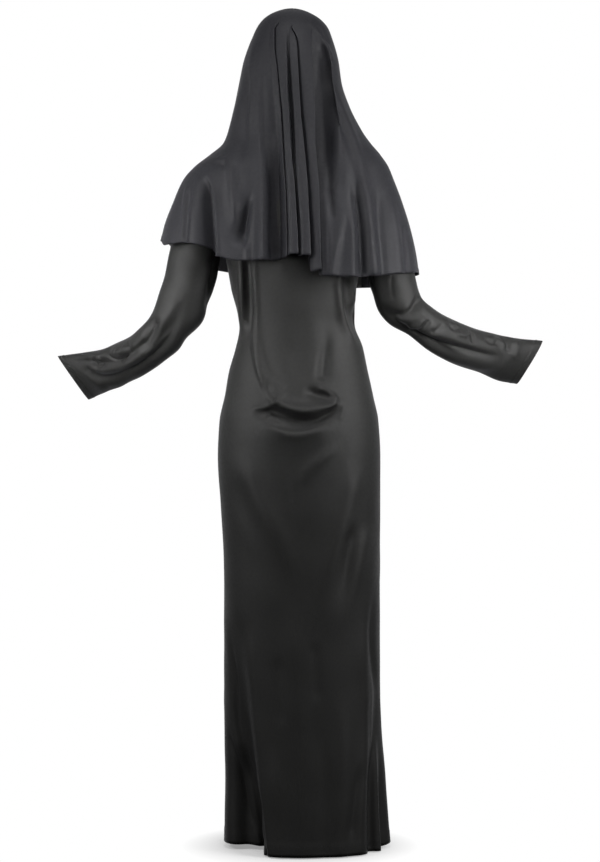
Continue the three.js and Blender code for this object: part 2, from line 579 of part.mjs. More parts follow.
// The angle at which a column of the veil stands in a section. Behind, it hangs nearly straight below the head
// where the section is wide enough, and the columns further out gather on the shoulder and beside the head.
// From the sides forward the columns close up towards the edge of the face opening.
function veilAngle(column, z, s) {
  const side = Math.sign(column);
  if (Math.abs(column) >= 90) return side * (90 + ((Math.abs(column) - 90) / 90) * (s.edge - 90));
  const hem = VEIL_SECTIONS[VEIL_SECTIONS.length - 1];
  const middle = (s.left + s.right) / 2;
  const half = (s.left - s.right) / 2;
  const plumb = (hem.left + hem.right) / 2 + ((hem.left - hem.right) / 2) * Math.sin(column * RAD);
  const offset = plumb + VEIL_DRIFT * (z - hem.z) - middle;
  const reach = offset > 0 ? hem.left - middle : middle - hem.right;
  const gather = 1 - Math.max(1, reach / half) ** -VEIL_GATHER;
  const share = Math.abs(offset) / half;
  return (Math.sign(offset) * Math.asin(Math.min(1, share / (1 + gather * share ** VEIL_GATHER) ** (1 / VEIL_GATHER)))) / RAD;
}

// A point of the veil.
function veilPoint(column, z) {
  const s = veilSection(z);
  const angle = veilAngle(column, z, s);
  const middle = (s.left + s.right) / 2;
  const base = roundPoint(middle, (s.left - s.right) / 2, s.back, s.front, s.square, angle);
  const point = pushed(base, middle, veilFoldDepth(column, z));
  return new THREE.Vector3(point.x, point.y, z);
}

// The veil: one sheet from the crown to the hem, closed round the crown and open in front below it.
function veilMesh() {
  const columns = veilColumns();
  const heights = VEIL_SECTIONS.map((s) => s.z).filter((z) => z >= VEIL_LEVEL_Z);
  const rows = heights.map((z) => columns.map((column) => veilPoint(column, z)));
  for (let row = 1; row <= VEIL_LEAN_ROWS; row += 1) {
    const share = row / VEIL_LEAN_ROWS;
    rows.push(columns.map((column) => veilPoint(column, lerp(VEIL_LEVEL_Z, veilHemZ(column), share))));
  }
  const closedRows = heights.filter((z) => z >= FACE_TOP_Z).length;
  const points = [new THREE.Vector3((VEIL_SECTIONS[0].left + VEIL_SECTIONS[0].right) / 2, 0, VEIL_TOP_Z)];
  const indices = rows.map((row, r) => {
    if (r === 0) return row.map(() => 0);
    return row.map((point, c) => {
      if (r < closedRows && c === row.length - 1) return points.length - (row.length - 1);
      return points.push(point) - 1;
    });
  });
  const faces = gridFaces(rows.length, columns.length, (row, column) => indices[row][column]);
  return clothMesh("veil", clothGeometry(points, faces, CLOTH), VEIL_BLACK, 0.5);
}

// The bib collar: a sheet made from the points of the habit's front, moved out.
function collarMesh() {
  const columns = FRONT_COLUMNS.filter((angle) => angle >= COLLAR.from && angle <= COLLAR.to);
  const below = habitHeights(-1).filter((z) => z >= COLLAR.bottomZ);
  const rows = habitRows(columns, -1).slice(0, ARMHOLE_ROWS + below.length);
  const width = columns.length;
  const faces = gridFaces(rows.length, width, (row, column) => row * width + column);
  const lifted = liftedPoints(rows.flat(), faces, (i) => {
    const fallen = Math.max(0, Math.floor(i / width) - ARMHOLE_ROWS) / (below.length - 1);
    const hang = lerp(COLLAR.hangLeft, COLLAR.hangRight, (i % width) / (width - 1));
    return CLOTH + COLLAR.lift + hang * fallen ** 1.5;
  });
  return clothMesh("collar", clothGeometry(lifted, faces, CLOTH), COLLAR_WHITE, 0.7);
}

// Points moved out along the surface's own direction.
function liftedPoints(points, faces, amountAt) {
  const probe = clothGeometry(points, faces, 1).getAttribute("position");
  return points.map((point, i) => {
    const inner = new THREE.Vector3().fromBufferAttribute(probe, i + points.length);
    return point.clone().addScaledVector(point.clone().sub(inner).normalize(), amountAt(i));
  });
}

const costume = new THREE.Group();
costume.name = "nun_costume";
costume.add(
  habitPanel("habit_back", BACK_COLUMNS, 1),
  habitPanel("habit_front", FRONT_COLUMNS, -1),
  sleeveMesh("sleeve_left", 1, LEFT_SLEEVE, LEFT_SLEEVE_FOLDS),
  sleeveMesh("sleeve_right", -1, RIGHT_SLEEVE, RIGHT_SLEEVE_FOLDS),
  collarMesh(),
  veilMesh(),
);

export default costume;
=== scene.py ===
import logging
from dataclasses import dataclass
from enum import Enum

import bpy
import numpy as np
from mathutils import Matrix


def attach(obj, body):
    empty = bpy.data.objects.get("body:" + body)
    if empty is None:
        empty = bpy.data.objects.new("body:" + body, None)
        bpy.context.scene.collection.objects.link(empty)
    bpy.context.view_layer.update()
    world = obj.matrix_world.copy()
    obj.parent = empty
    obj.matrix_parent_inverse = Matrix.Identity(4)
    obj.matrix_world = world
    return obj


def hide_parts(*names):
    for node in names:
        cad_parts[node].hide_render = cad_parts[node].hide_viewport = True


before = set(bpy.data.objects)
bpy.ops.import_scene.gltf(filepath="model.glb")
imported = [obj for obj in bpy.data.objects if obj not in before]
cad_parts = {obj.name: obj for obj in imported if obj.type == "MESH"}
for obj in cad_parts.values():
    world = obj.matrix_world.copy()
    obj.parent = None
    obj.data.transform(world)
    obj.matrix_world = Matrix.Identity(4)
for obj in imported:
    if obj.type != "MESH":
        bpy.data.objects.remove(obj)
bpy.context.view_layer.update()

LOG = logging.getLogger("costume")
MM = 0.001
# These are in millimetres, as are the sizes of all the classes and tables that make cloth.
CLOTH = 1.5  # the thickness of the wall that each sheet stands for
WALL = 0.9  # the thickness that the cloth is given here
SEAM = 0.3  # the gap between two sewn pieces
STITCH_INSET = 1  # from the edge of a hem's fold to its stitches
THREAD_LIFT = 0.12  # how far the middle of a stitch stands out from the cloth
HEM_STEP = 3  # the width over which the edge of a turned hem rises
RIDGE = 0.3  # how far the cloth stands out along a hem's stitches
RIDGE_HALF = 1.6  # half the width of that ridge
WORN_HEM = 14  # how far from its edge a hem looks worn
SIDE_FADE = 25  # the width at the sides over which folds of the back fade out
SEAM_FADE = 12  # the width beside a sewn edge over which creases fade out
WAVES = 9  # how many waves make up the waviness of worn cloth


def ease(t: np.ndarray) -> np.ndarray:
    """Rises smoothly from 0 at 0 to 1 at 1."""
    t = np.clip(t, 0.0, 1.0)
    return t * t * (3 - 2 * t)


def bell(offset: np.ndarray, width: np.ndarray) -> np.ndarray:
    """A soft bump one high, and 2.7 times lower at half its width."""
    return np.exp(-((offset / width) ** 2))


def turn_between(a: np.ndarray, b: float) -> np.ndarray:
    """The difference between two angles in degrees, from -180 to 180."""
    return (a - b + 180) % 360 - 180


def curved(
    low: np.ndarray, high: np.ndarray, leave: np.ndarray, arrive: np.ndarray, t: np.ndarray
) -> np.ndarray:
    """Reads a curve between two places.

    Args:
        low: the value at the start.
        high: the value at the end.
        leave: the slope at the start, over the whole way.
        arrive: the slope at the end, over the whole way.
        t: how far along the way, from 0 to 1.

    Returns:
        The value there.
    """
    return low + (high - low) * t * t * (3 - 2 * t) + leave * t * (1 - t) ** 2 + arrive * t * t * (t - 1)


def stretches(places: tuple[float, ...], counts: tuple[int, ...]) -> np.ndarray:
    """Even steps from each place to the next, as many as its count, and the last place."""
    runs = [np.linspace(a, b, n, endpoint=False) for a, b, n in zip(places, places[1:], counts)]
    return np.concatenate([*runs, places[-1:]])


def run_along(points: np.ndarray, axis: int) -> np.ndarray:
    """How far each point lies from the first one along an axis of a grid of points."""
    steps = np.linalg.norm(np.diff(points, axis=axis), axis=-1)
    return np.cumsum(np.insert(steps, 0, 0, axis=axis), axis=axis)


class Curve:
    """A smooth curve through places and values, with no overshoot between them."""

    def __init__(self, places: np.ndarray, values: np.ndarray) -> None:
        """Sorts the places and finds the slope at each.

        Args:
            places: where the values are known.
            values: one value, or one row of values, for each place.
        """
        places, values = np.asarray(places, float), np.asarray(values, float)
        order = np.argsort(places)
        self.places, self.values = places[order], values[order]
        spans = np.diff(self.places).reshape((-1,) + (1,) * (values.ndim - 1))
        steps = np.diff(self.values, axis=0) / spans
        product, total = steps[:-1] * steps[1:], steps[:-1] + steps[1:]
        inner = np.where(product > 0, 2 * product / np.where(total == 0, 1, total), 0)
        self.slopes = np.concatenate([steps[:1], inner, steps[-1:]])

    def __call__(self, x: np.ndarray) -> np.ndarray:
        """Reads the curve.

        Args:
            x: a place, or an array of them where each place has one value.

        Returns:
            The values there, held at the ends.
        """
        x = np.clip(x, self.places[0], self.places[-1])
        i = np.clip(np.searchsorted(self.places, x, side="right") - 1, 0, len(self.places) - 2)
        span = self.places[i + 1] - self.places[i]
        t = (x - self.places[i]) / span
        slopes = span * self.slopes[i], span * self.slopes[i + 1]
        return curved(self.values[i], self.values[i + 1], *slopes, t)


class Table:
    """Named columns of sizes in millimetres, read at any height."""

    def __init__(self, names: str, rows: tuple, top: float | None = None) -> None:
        """Keeps one curve for each column.

        Args:
            names: the names of the columns after the first, which is the height.
            rows: the rows of the table.
            top: the height of a crown that the columns round off to, if there is one.
        """
        self.top = top
        grid = np.array(rows, float)
        self.curves = {
            name: Curve(self.key(grid[:, 0]), grid[:, i + 1]) for i, name in enumerate(names.split())
        }

    def key(self, z: np.ndarray) -> np.ndarray:
        """The place on the curves that stands for a height."""
        return z if self.top is None else np.sqrt(np.maximum(0, self.top - z))

    def at(self, z: np.ndarray) -> dict[str, np.ndarray]:
        """Every column at the heights z."""
        return {name: curve(self.key(z)) for name, curve in self.curves.items()}


@dataclass(frozen=True)
class Fold:
    """A trough or ridge along a line of (x, z) places seen from behind, in millimetres.

    width is half its width and depth how far it stands out, both at its start. It fades in and out over
    shares of its length, and crisp is 2 for a round fold and less for a sharper crease. Where lean is
    above 0, going down the line its left flank is longer than its right one, as seen from behind.
    """

    line: tuple[tuple[float, float], ...]
    width: float
    depth: float
    end_width: float | None = None
    end_depth: float | None = None
    fade_in: float = 0.2
    fade_out: float = 0.2
    crisp: float = 2.0
    lean: float = 0.0

    def smooth_line(self) -> np.ndarray:
        """Points about every 12 mm along a smooth curve through those of the line.

        Returns:
            The places as rows of x and z.
        """
        points = np.array(self.line, float)
        places = run_along(points, 0)
        slopes = np.gradient(points, places, axis=0)
        steps = np.linspace(0, places[-1], max(3, int(places[-1] / 12) + 2))
        i = np.clip(np.searchsorted(places, steps, side="right") - 1, 0, len(places) - 2)
        span = (places[i + 1] - places[i])[:, None]
        t = (steps[:, None] - places[i][:, None]) / span
        return curved(points[i], points[i + 1], span * slopes[i], span * slopes[i + 1], t)

    def lift(self, x: np.ndarray, z: np.ndarray) -> np.ndarray:
        """How far the fold moves points outwards.

        Args:
            x: the points' places across.
            z: their heights.

        Returns:
            The distance for each point, in millimetres.
        """
        line = self.smooth_line()
        reach = 4 * max(self.width, self.end_width or 0)
        (left, low), (right, high) = line.min(axis=0) - reach, line.max(axis=0) + reach
        near = (x > left) & (x < right) & (z > low) & (z < high)
        out = np.zeros_like(x)
        if not near.any():
            return out
        px, pz = x[near], z[near]
        best = np.full(px.shape, 1e9)
        along, side = np.zeros_like(px), np.zeros_like(px)
        count = len(line) - 1
        for i, (a, b) in enumerate(zip(line[:-1], line[1:])):
            step = b - a
            t = np.clip(((px - a[0]) * step[0] + (pz - a[1]) * step[1]) / (step @ step), 0, 1)
            off_x, off_z = px - a[0] - t * step[0], pz - a[1] - t * step[1]
            distance = np.hypot(off_x, off_z)
            closer = distance < best
            side = np.where(closer, np.sign(step[0] * off_z - step[1] * off_x), side)
            best = np.where(closer, distance, best)
            along = np.where(closer, (i + t) / count, along)
        width = self.width + along * ((self.end_width or self.width) - self.width)
        width = width * (1 + self.lean * side)
        start = self.depth
        depth = start + along * ((start if self.end_depth is None else self.end_depth) - start)
        if self.fade_in:
            depth = depth * ease(along / self.fade_in)
        if self.fade_out:
            depth = depth * ease((1 - along) / self.fade_out)
        out[near] = depth * np.exp(-((best / width) ** self.crisp))
        return out


def folded(folds: tuple[Fold, ...], points: np.ndarray, behind: np.ndarray) -> np.ndarray:
    """How far all of some folds move points outwards, where the points lie behind the middle."""
    x, z = points[..., 0], points[..., 2]
    return sum(fold.lift(x, z) for fold in folds) * ease(behind / SIDE_FADE + 0.5)


def unevenness(points: np.ndarray, seed: int, amount: float, length: float) -> np.ndarray:
    """The slight waviness of worn cloth.

    Args:
        points: where it is wanted, in millimetres.
        seed: which waviness.
        amount: about how far it moves the cloth, in millimetres.
        length: about how long its waves are, in millimetres.

    Returns:
        The distance outwards for each point.
    """
    rng = np.random.default_rng(seed)
    total = np.zeros(points.shape[:-1])
    for _ in range(WAVES):
        way = rng.normal(size=3) * np.array([1.5, 1.0, 0.7])
        wave = 2 * np.pi / (length * rng.uniform(0.6, 1.8))
        total += np.sin(points @ (way / np.linalg.norm(way) * wave) + rng.uniform(0, 2 * np.pi))
    return amount * total / np.sqrt(WAVES)


class Held(Enum):
    """How a sheet is held."""

    DRAPED = "draped"
    HUNG = "hung"


@dataclass
class Sheet:
    """A sheet of cloth as rows of points in millimetres, from its top down and round to the left."""

    points: np.ndarray
    closed_rows: int = 0  # how many rows from the top run right round
    pole: bool = False  # the first row is one point

    def normals(self) -> np.ndarray:
        """The direction outwards at each point.

        Returns:
            A unit vector for each point.
        """
        across = np.gradient(self.points, axis=1)
        if self.closed_rows:
            n = self.closed_rows
            seam = self.points[:n, 1] - self.points[:n, -2]
            across[:n, 0] = across[:n, -1] = seam / 2
        down = np.gradient(self.points, axis=0)
        if self.pole:
            across[0] = across[1]
        out = np.cross(across, down)
        size = np.linalg.norm(out, axis=-1, keepdims=True)
        out = out / np.maximum(size, 1e-9)
        if self.pole:
            out[0] = [0, 0, 1]
        return out

    def moved(self, amount: np.ndarray) -> "Sheet":
        """The sheet with each point moved outwards by its amount.

        Args:
            amount: the distance for each point.

        Returns:
            The moved sheet, still closed where this one is.
        """
        if self.pole:
            amount[0] = amount[0].mean()
        if self.closed_rows:
            amount[: self.closed_rows, -1] = amount[: self.closed_rows, 0]
        return Sheet(self.points + self.normals() * amount[..., None], self.closed_rows, self.pole)

    def from_hem(self) -> np.ndarray:
        """How far each point is from the bottom edge, along its column.

        Returns:
            The distance for each point.
        """
        steps = np.linalg.norm(np.diff(self.points, axis=0), axis=-1)
        up = np.cumsum(steps[::-1], axis=0)[::-1]
        return np.vstack([up, np.zeros((1, up.shape[1]))])

    def turned_hem(self, width: float, amount: float) -> "Sheet":
        """The sheet with its bottom edge doubled to a width, which stands out by an amount."""
        past = self.from_hem() - width
        return self.moved(amount * (1 - ease(past / HEM_STEP)) + RIDGE * bell(past, RIDGE_HALF))

    def hem_path(self, inset: float, columns: slice = slice(None)) -> np.ndarray:
        """Points along the bottom edge, moved in by a distance.

        Args:
            inset: the distance from the edge.
            columns: which columns the path crosses.

        Returns:
            The points, just outside the cloth.
        """
        away, lifted = self.from_hem(), self.points + THREAD_LIFT * self.normals()
        path = []
        for c in range(*columns.indices(away.shape[1])):
            path.append([np.interp(inset, away[::-1, c], lifted[::-1, c, k]) for k in range(3)])
        return np.array(path)

    def side_path(self, column: int, rows: slice) -> np.ndarray:
        """Points down one column."""
        return (self.points + THREAD_LIFT * self.normals())[rows, column]

    def indices(self) -> np.ndarray:
        """The number of each point's vertex.

        Returns:
            The numbers, the same for points that are one vertex.
        """
        rows, columns = self.points.shape[:2]
        numbers = np.arange(rows * columns).reshape(rows, columns)
        if self.closed_rows:
            numbers[: self.closed_rows, -1] = numbers[: self.closed_rows, 0]
        if self.pole:
            numbers[0] = numbers[0, 0]
        return numbers

    def mesh(self, name: str) -> bpy.types.Mesh:
        """The sheet as a mesh in metres, with a UV map in metres along the cloth.

        Args:
            name: the mesh's name.

        Returns:
            The mesh, with an attribute that says how near its hem each point is.
        """
        n = self.indices()
        quads = np.stack([n[:-1, :-1], n[:-1, 1:], n[1:, 1:], n[1:, :-1]], axis=-1).reshape(-1, 4)
        used, fresh = np.unique(quads, return_inverse=True)
        quads = fresh.reshape(quads.shape)
        faces = [list(dict.fromkeys(face)) for face in quads.tolist()]
        mesh = bpy.data.meshes.new(name)
        mesh.from_pydata((self.points.reshape(-1, 3)[used] * MM).tolist(), [], faces)
        u, v = run_along(self.points, 1), run_along(self.points, 0)
        u = u - u[:, [u.shape[1] // 2]]
        places = (np.stack([u, v], axis=-1).reshape(-1, 2)[used] * MM).astype(np.float32)
        loops = np.empty(len(mesh.loops), dtype=np.int32)
        mesh.loops.foreach_get("vertex_index", loops)
        mesh.uv_layers.new(name="cloth").data.foreach_set("uv", places[loops].ravel())
        worn = mesh.attributes.new("near_hem", "FLOAT", "POINT")
        near = np.exp(-self.from_hem().reshape(-1)[used] / WORN_HEM).astype(np.float32)
        worn.data.foreach_set("value", near)
        mesh.polygons.foreach_set("use_smooth", np.ones(len(faces), dtype=bool))
        mesh.validate()
        mesh.update()
        return mesh

    def area(self) -> float:
        """Its area in square metres.

        Returns:
            The area of all its triangles together.
        """
        p = self.points * MM
        first = np.cross(p[:-1, 1:] - p[:-1, :-1], p[1:, 1:] - p[:-1, :-1])
        second = np.cross(p[1:, 1:] - p[:-1, :-1], p[1:, :-1] - p[:-1, :-1])
        return float(sum(np.linalg.norm(n, axis=-1).sum() / 2 for n in (first, second)))


class Nodes:
    """A small helper that adds nodes to a tree and joins them."""

    def __init__(self, tree: bpy.types.NodeTree) -> None:
        """Keeps the tree."""
        self.tree = tree

    @classmethod
    def fresh(cls, owner: bpy.types.Material | bpy.types.World) -> "Nodes":
        """Empties the tree of a material or the world, and helps with that.

        Args:
            owner: the material or the world.

        Returns:
            The helper for its tree.
        """
        owner.use_nodes = True
        owner.node_tree.nodes.clear()
        return cls(owner.node_tree)

    def add(self, kind: str, inputs: dict | None = None, **settings: str) -> bpy.types.Node:
        """Adds a node.

        Args:
            kind: its type.
            inputs: values or sockets for its inputs, by name or number.
            settings: its other properties.

        Returns:
            The node.
        """
        node = self.tree.nodes.new(kind)
        for key, value in settings.items():
            setattr(node, key, value)
        for key, value in (inputs or {}).items():
            if isinstance(value, bpy.types.NodeSocket):
                self.tree.links.new(value, node.inputs[key])
            else:
                node.inputs[key].default_value = value
        return node

    def sum_of(self, operation: str, *values: float | bpy.types.NodeSocket) -> bpy.types.NodeSocket:
        """The result of a maths node on some values or sockets."""
        return self.add("ShaderNodeMath", dict(enumerate(values)), operation=operation).outputs[0]


@dataclass(frozen=True)
class ClothFinish:
    """A dyed woven cloth: its colours, how it shines, and its threads."""

    name: str
    colour: tuple[float, float, float]
    faded: tuple[float, float, float]
    roughness: tuple[float, float] = (0.58, 0.69)
    sheen: float = 0.08
    sheen_tint: tuple[float, float, float] = (0.75, 0.77, 0.85)
    specular: float = 0.55
    thread: float = 0.0006  # metres from one thread to the next
    weave_height: float = 0.00005  # metres

    def build(self) -> bpy.types.Material:
        """Makes the material.

        Returns:
            The material, with its weave on the cloth's own UV map.
        """
        material = bpy.data.materials.new(self.name)
        n = Nodes.fresh(material)
        place = n.add("ShaderNodeTexCoord").outputs["Object"]
        cloth = n.add("ShaderNodeSeparateXYZ", {0: n.add("ShaderNodeUVMap", uv_map="cloth").outputs[0]})
        turns = np.pi / self.thread
        warp = n.sum_of("SINE", n.sum_of("MULTIPLY", cloth.outputs[0], turns))
        weft = n.sum_of("SINE", n.sum_of("MULTIPLY", cloth.outputs[1], turns))
        over = n.sum_of("MULTIPLY", warp, weft)
        slub = n.add("ShaderNodeTexNoise", {"Vector": place, "Scale": 420.0, "Detail": 2.0}).outputs[0]
        height = n.sum_of("ADD", n.sum_of("MULTIPLY", over, 0.5), slub)
        puckers = n.add("ShaderNodeTexNoise", {"Vector": place, "Scale": 38.0, "Detail": 4.0}).outputs[0]
        fine = n.add(
            "ShaderNodeBump",
            {"Strength": 0.35, "Distance": self.weave_height, "Height": height},
        ).outputs[0]
        bump = n.add(
            "ShaderNodeBump",
            {"Strength": 0.25, "Distance": 0.0003, "Height": puckers, "Normal": fine},
        ).outputs[0]
        patches = n.add("ShaderNodeTexNoise", {"Vector": place, "Scale": 5.0, "Detail": 5.0}).outputs[0]
        lint = n.add("ShaderNodeTexNoise", {"Vector": place, "Scale": 160.0, "Detail": 3.0}).outputs[0]
        hem = n.add("ShaderNodeAttribute", attribute_name="near_hem").outputs["Fac"]
        worn = n.sum_of("MULTIPLY", hem, n.sum_of("MULTIPLY", lint, 1.1))
        fade = n.sum_of("ADD", n.sum_of("MULTIPLY", patches, 0.8), n.sum_of("MULTIPLY", worn, 0.5))
        colour = n.add(
            "ShaderNodeMix",
            {0: fade, 6: (*self.colour, 1), 7: (*self.faded, 1)},
            data_type="RGBA",
        ).outputs[2]
        rough = n.add(
            "ShaderNodeMapRange",
            {0: lint, 1: 0.3, 2: 0.7, 3: self.roughness[0], 4: self.roughness[1]},
        ).outputs[0]
        shader = n.add(
            "ShaderNodeBsdfPrincipled",
            {
                "Base Color": colour,
                "Roughness": rough,
                "Normal": bump,
                "Specular IOR Level": self.specular,
                "Sheen Weight": self.sheen,
                "Sheen Roughness": 0.45,
                "Sheen Tint": (*self.sheen_tint, 1),
            },
        )
        n.add("ShaderNodeOutputMaterial", {"Surface": shader.outputs[0]})
        return material


@dataclass(frozen=True)
class ThreadFinish:
    """Plain sewing thread."""

    name: str
    colour: tuple[float, float, float]

    def build(self) -> bpy.types.Material:
        """Makes the material, with a slight variation from stitch to stitch.

        Returns:
            The material.
        """
        material = bpy.data.materials.new(self.name)
        n = Nodes.fresh(material)
        place = n.add("ShaderNodeTexCoord").outputs["Object"]
        noise = n.add("ShaderNodeTexNoise", {"Vector": place, "Scale": 300.0}).outputs[0]
        light = tuple(min(1.0, 1.5 * c) for c in self.colour)
        colour = n.add(
            "ShaderNodeMix", {0: noise, 6: (*self.colour, 1), 7: (*light, 1)}, data_type="RGBA"
        ).outputs[2]
        bump = n.add("ShaderNodeBump", {"Strength": 0.3, "Distance": 0.0001, "Height": noise}).outputs[0]
        shader = n.add("ShaderNodeBsdfPrincipled", {"Base Color": colour, "Roughness": 0.55, "Normal": bump})
        n.add("ShaderNodeOutputMaterial", {"Surface": shader.outputs[0]})
        return material


def placed(name: str, data: bpy.types.ID) -> bpy.types.Object:
    """A new object in the scene.

    Args:
        name: its name.
        data: its mesh, light or camera.

    Returns:
        The object.
    """
    made = bpy.data.objects.new(name, data)
    bpy.context.scene.collection.objects.link(made)
    return made


@dataclass
class StitchLine:
    """A row of machine stitches that follows a path, with sizes in millimetres."""

    pitch: float = 3.6
    length: float = 2.5
    thickness: float = 0.42

    def tree(self) -> bpy.types.NodeTree:
        """The node tree that lays one stitch at each step of a path.

        Returns:
            The tree, made once and then found again.
        """
        found = bpy.data.node_groups.get("stitches")
        if found:
            return found
        tree = bpy.data.node_groups.new("stitches", "GeometryNodeTree")
        face = tree.interface
        face.new_socket("Path", in_out="INPUT", socket_type="NodeSocketGeometry")
        for name in ("Pitch", "Length", "Thickness"):
            face.new_socket(name, in_out="INPUT", socket_type="NodeSocketFloat")
        face.new_socket("Thread", in_out="INPUT", socket_type="NodeSocketMaterial")
        face.new_socket("Stitches", in_out="OUTPUT", socket_type="NodeSocketGeometry")
        n = Nodes(tree)
        given = n.add("NodeGroupInput").outputs
        curve = n.add("GeometryNodeMeshToCurve", {0: given["Path"]}).outputs[0]
        even = n.add("GeometryNodeResampleCurve", {"Curve": curve, "Length": given["Pitch"]}, mode="LENGTH")
        way = n.add("GeometryNodeInputTangent").outputs[0]
        turn = n.add("FunctionNodeAlignRotationToVector", {"Vector": way}, axis="Z").outputs[0]
        seed = n.add("GeometryNodeMeshIcoSphere", {"Radius": 0.5, "Subdivisions": 1}).outputs[0]
        size = n.add(
            "ShaderNodeCombineXYZ",
            {0: given["Thickness"], 1: given["Thickness"], 2: given["Length"]},
        ).outputs[0]
        grain = n.add("GeometryNodeTransform", {"Geometry": seed, "Scale": size}).outputs[0]
        laid = n.add(
            "GeometryNodeInstanceOnPoints",
            {"Points": even.outputs[0], "Instance": grain, "Rotation": turn},
        ).outputs[0]
        real = n.add("GeometryNodeRealizeInstances", {0: laid}).outputs[0]
        done = n.add("GeometryNodeSetMaterial", {"Geometry": real, "Material": given["Thread"]}).outputs[0]
        n.add("NodeGroupOutput", {0: done})
        return tree

    def sew(self, name: str, paths: list[np.ndarray], thread: bpy.types.Material) -> bpy.types.Object:
        """Sews stitches along paths.

        Args:
            name: the new piece's name.
            paths: the points of each path, in millimetres.
            thread: the thread's material.

        Returns:
            The stitches as one plain mesh.
        """
        verts, edges = [], []
        for path in paths:
            start = len(verts)
            verts += (path * MM).tolist()
            edges += [(i, i + 1) for i in range(start, len(verts) - 1)]
        guide = bpy.data.meshes.new(name + "_path")
        guide.from_pydata(verts, edges, [])
        carrier = placed(name + "_path", guide)
        modifier = carrier.modifiers.new("stitches", "NODES")
        modifier.node_group = self.tree()
        sizes = {"Pitch": self.pitch * MM, "Length": self.length * MM, "Thickness": self.thickness * MM}
        for item in modifier.node_group.interface.items_tree:
            if item.name in sizes and item.in_out == "INPUT":
                modifier[item.identifier] = sizes[item.name]
            elif item.name == "Thread":
                modifier[item.identifier] = thread
        graph = bpy.context.evaluated_depsgraph_get()
        mesh = bpy.data.meshes.new_from_object(carrier.evaluated_get(graph))
        mesh.name = name
        bpy.data.objects.remove(carrier)
        bpy.data.meshes.remove(guide)
        if not mesh.materials:
            mesh.materials.append(thread)
        mesh.polygons.foreach_set("use_smooth", np.ones(len(mesh.polygons), dtype=bool))
        return placed(name, mesh)


def cloth_piece(name: str, sheet: Sheet, finish: bpy.types.Material) -> bpy.types.Object:
    """Makes a sheet a piece of cloth with a thin wall inside its surface.

    Args:
        name: the piece's name.
        sheet: its surface.
        finish: its material.

    Returns:
        The piece.
    """
    piece = placed(name, sheet.mesh(name))
    piece.data.materials.append(finish)
    wall = piece.modifiers.new("wall", "SOLIDIFY")
    wall.thickness = WALL * MM
    wall.offset = -1
    wall.use_rim = True
    LOG.info("%s: %d faces, %.3f square metres", name, len(piece.data.polygons), sheet.area())
    return piece


def round_section(s: dict, angle: np.ndarray, half: np.ndarray, middle: np.ndarray) -> tuple:
    """Points of a rounded section.

    Args:
        s: the section's reach to the back and front, and its squareness.
        angle: where round it, in degrees from the middle of the back.
        half: half its width.
        middle: its middle.

    Returns:
        The points' places across and from front to back.
    """
    turn = np.radians(angle)
    side, ahead = np.sin(turn), np.cos(turn)
    reach = np.where(ahead >= 0, s["back"], -s["front"])
    depth = reach * (1 - np.minimum(1, np.abs(side)) ** s["square"]) ** (1 / s["square"])
    return middle + half * side, np.where(np.abs(ahead) < 1e-9, 0, depth)


HABIT_SECTIONS = Table(
    "middle half back front square",
    (
        (-190, 10, 146, 108, 116, 2.5),
        (-235, 12, 136, 108, 123, 2.5),
        (-280, 13, 127, 106, 118, 2.5),
        (-330, 8, 119, 101, 104, 2.5),
        (-355, 6, 117, 99, 98, 2.5),
        (-402, 1, 129, 99, 97, 2.4),
        (-450, 3, 141, 107, 100, 2.3),
        (-500, 2, 151, 119, 104, 2.3),
        (-548, 2, 161, 129, 108, 2.3),
        (-621, 2, 165, 134, 111, 2.3),
        (-719, -1, 162, 134, 114, 2.3),
        (-865, -4, 158, 133, 118, 2.3),
        (-1108, -4, 158, 136, 126, 2.2),
        (-1279, -9, 161, 143, 140, 2.2),
        (-1408, -11, 165, 150, 155, 2.2),
    ),
)
HABIT_HEM = Curve(
    (-180, -105, -85, -62, 40, 66, 180),
    (-1396, -1391, -1399, -1408, -1408, -1400, -1396),
)
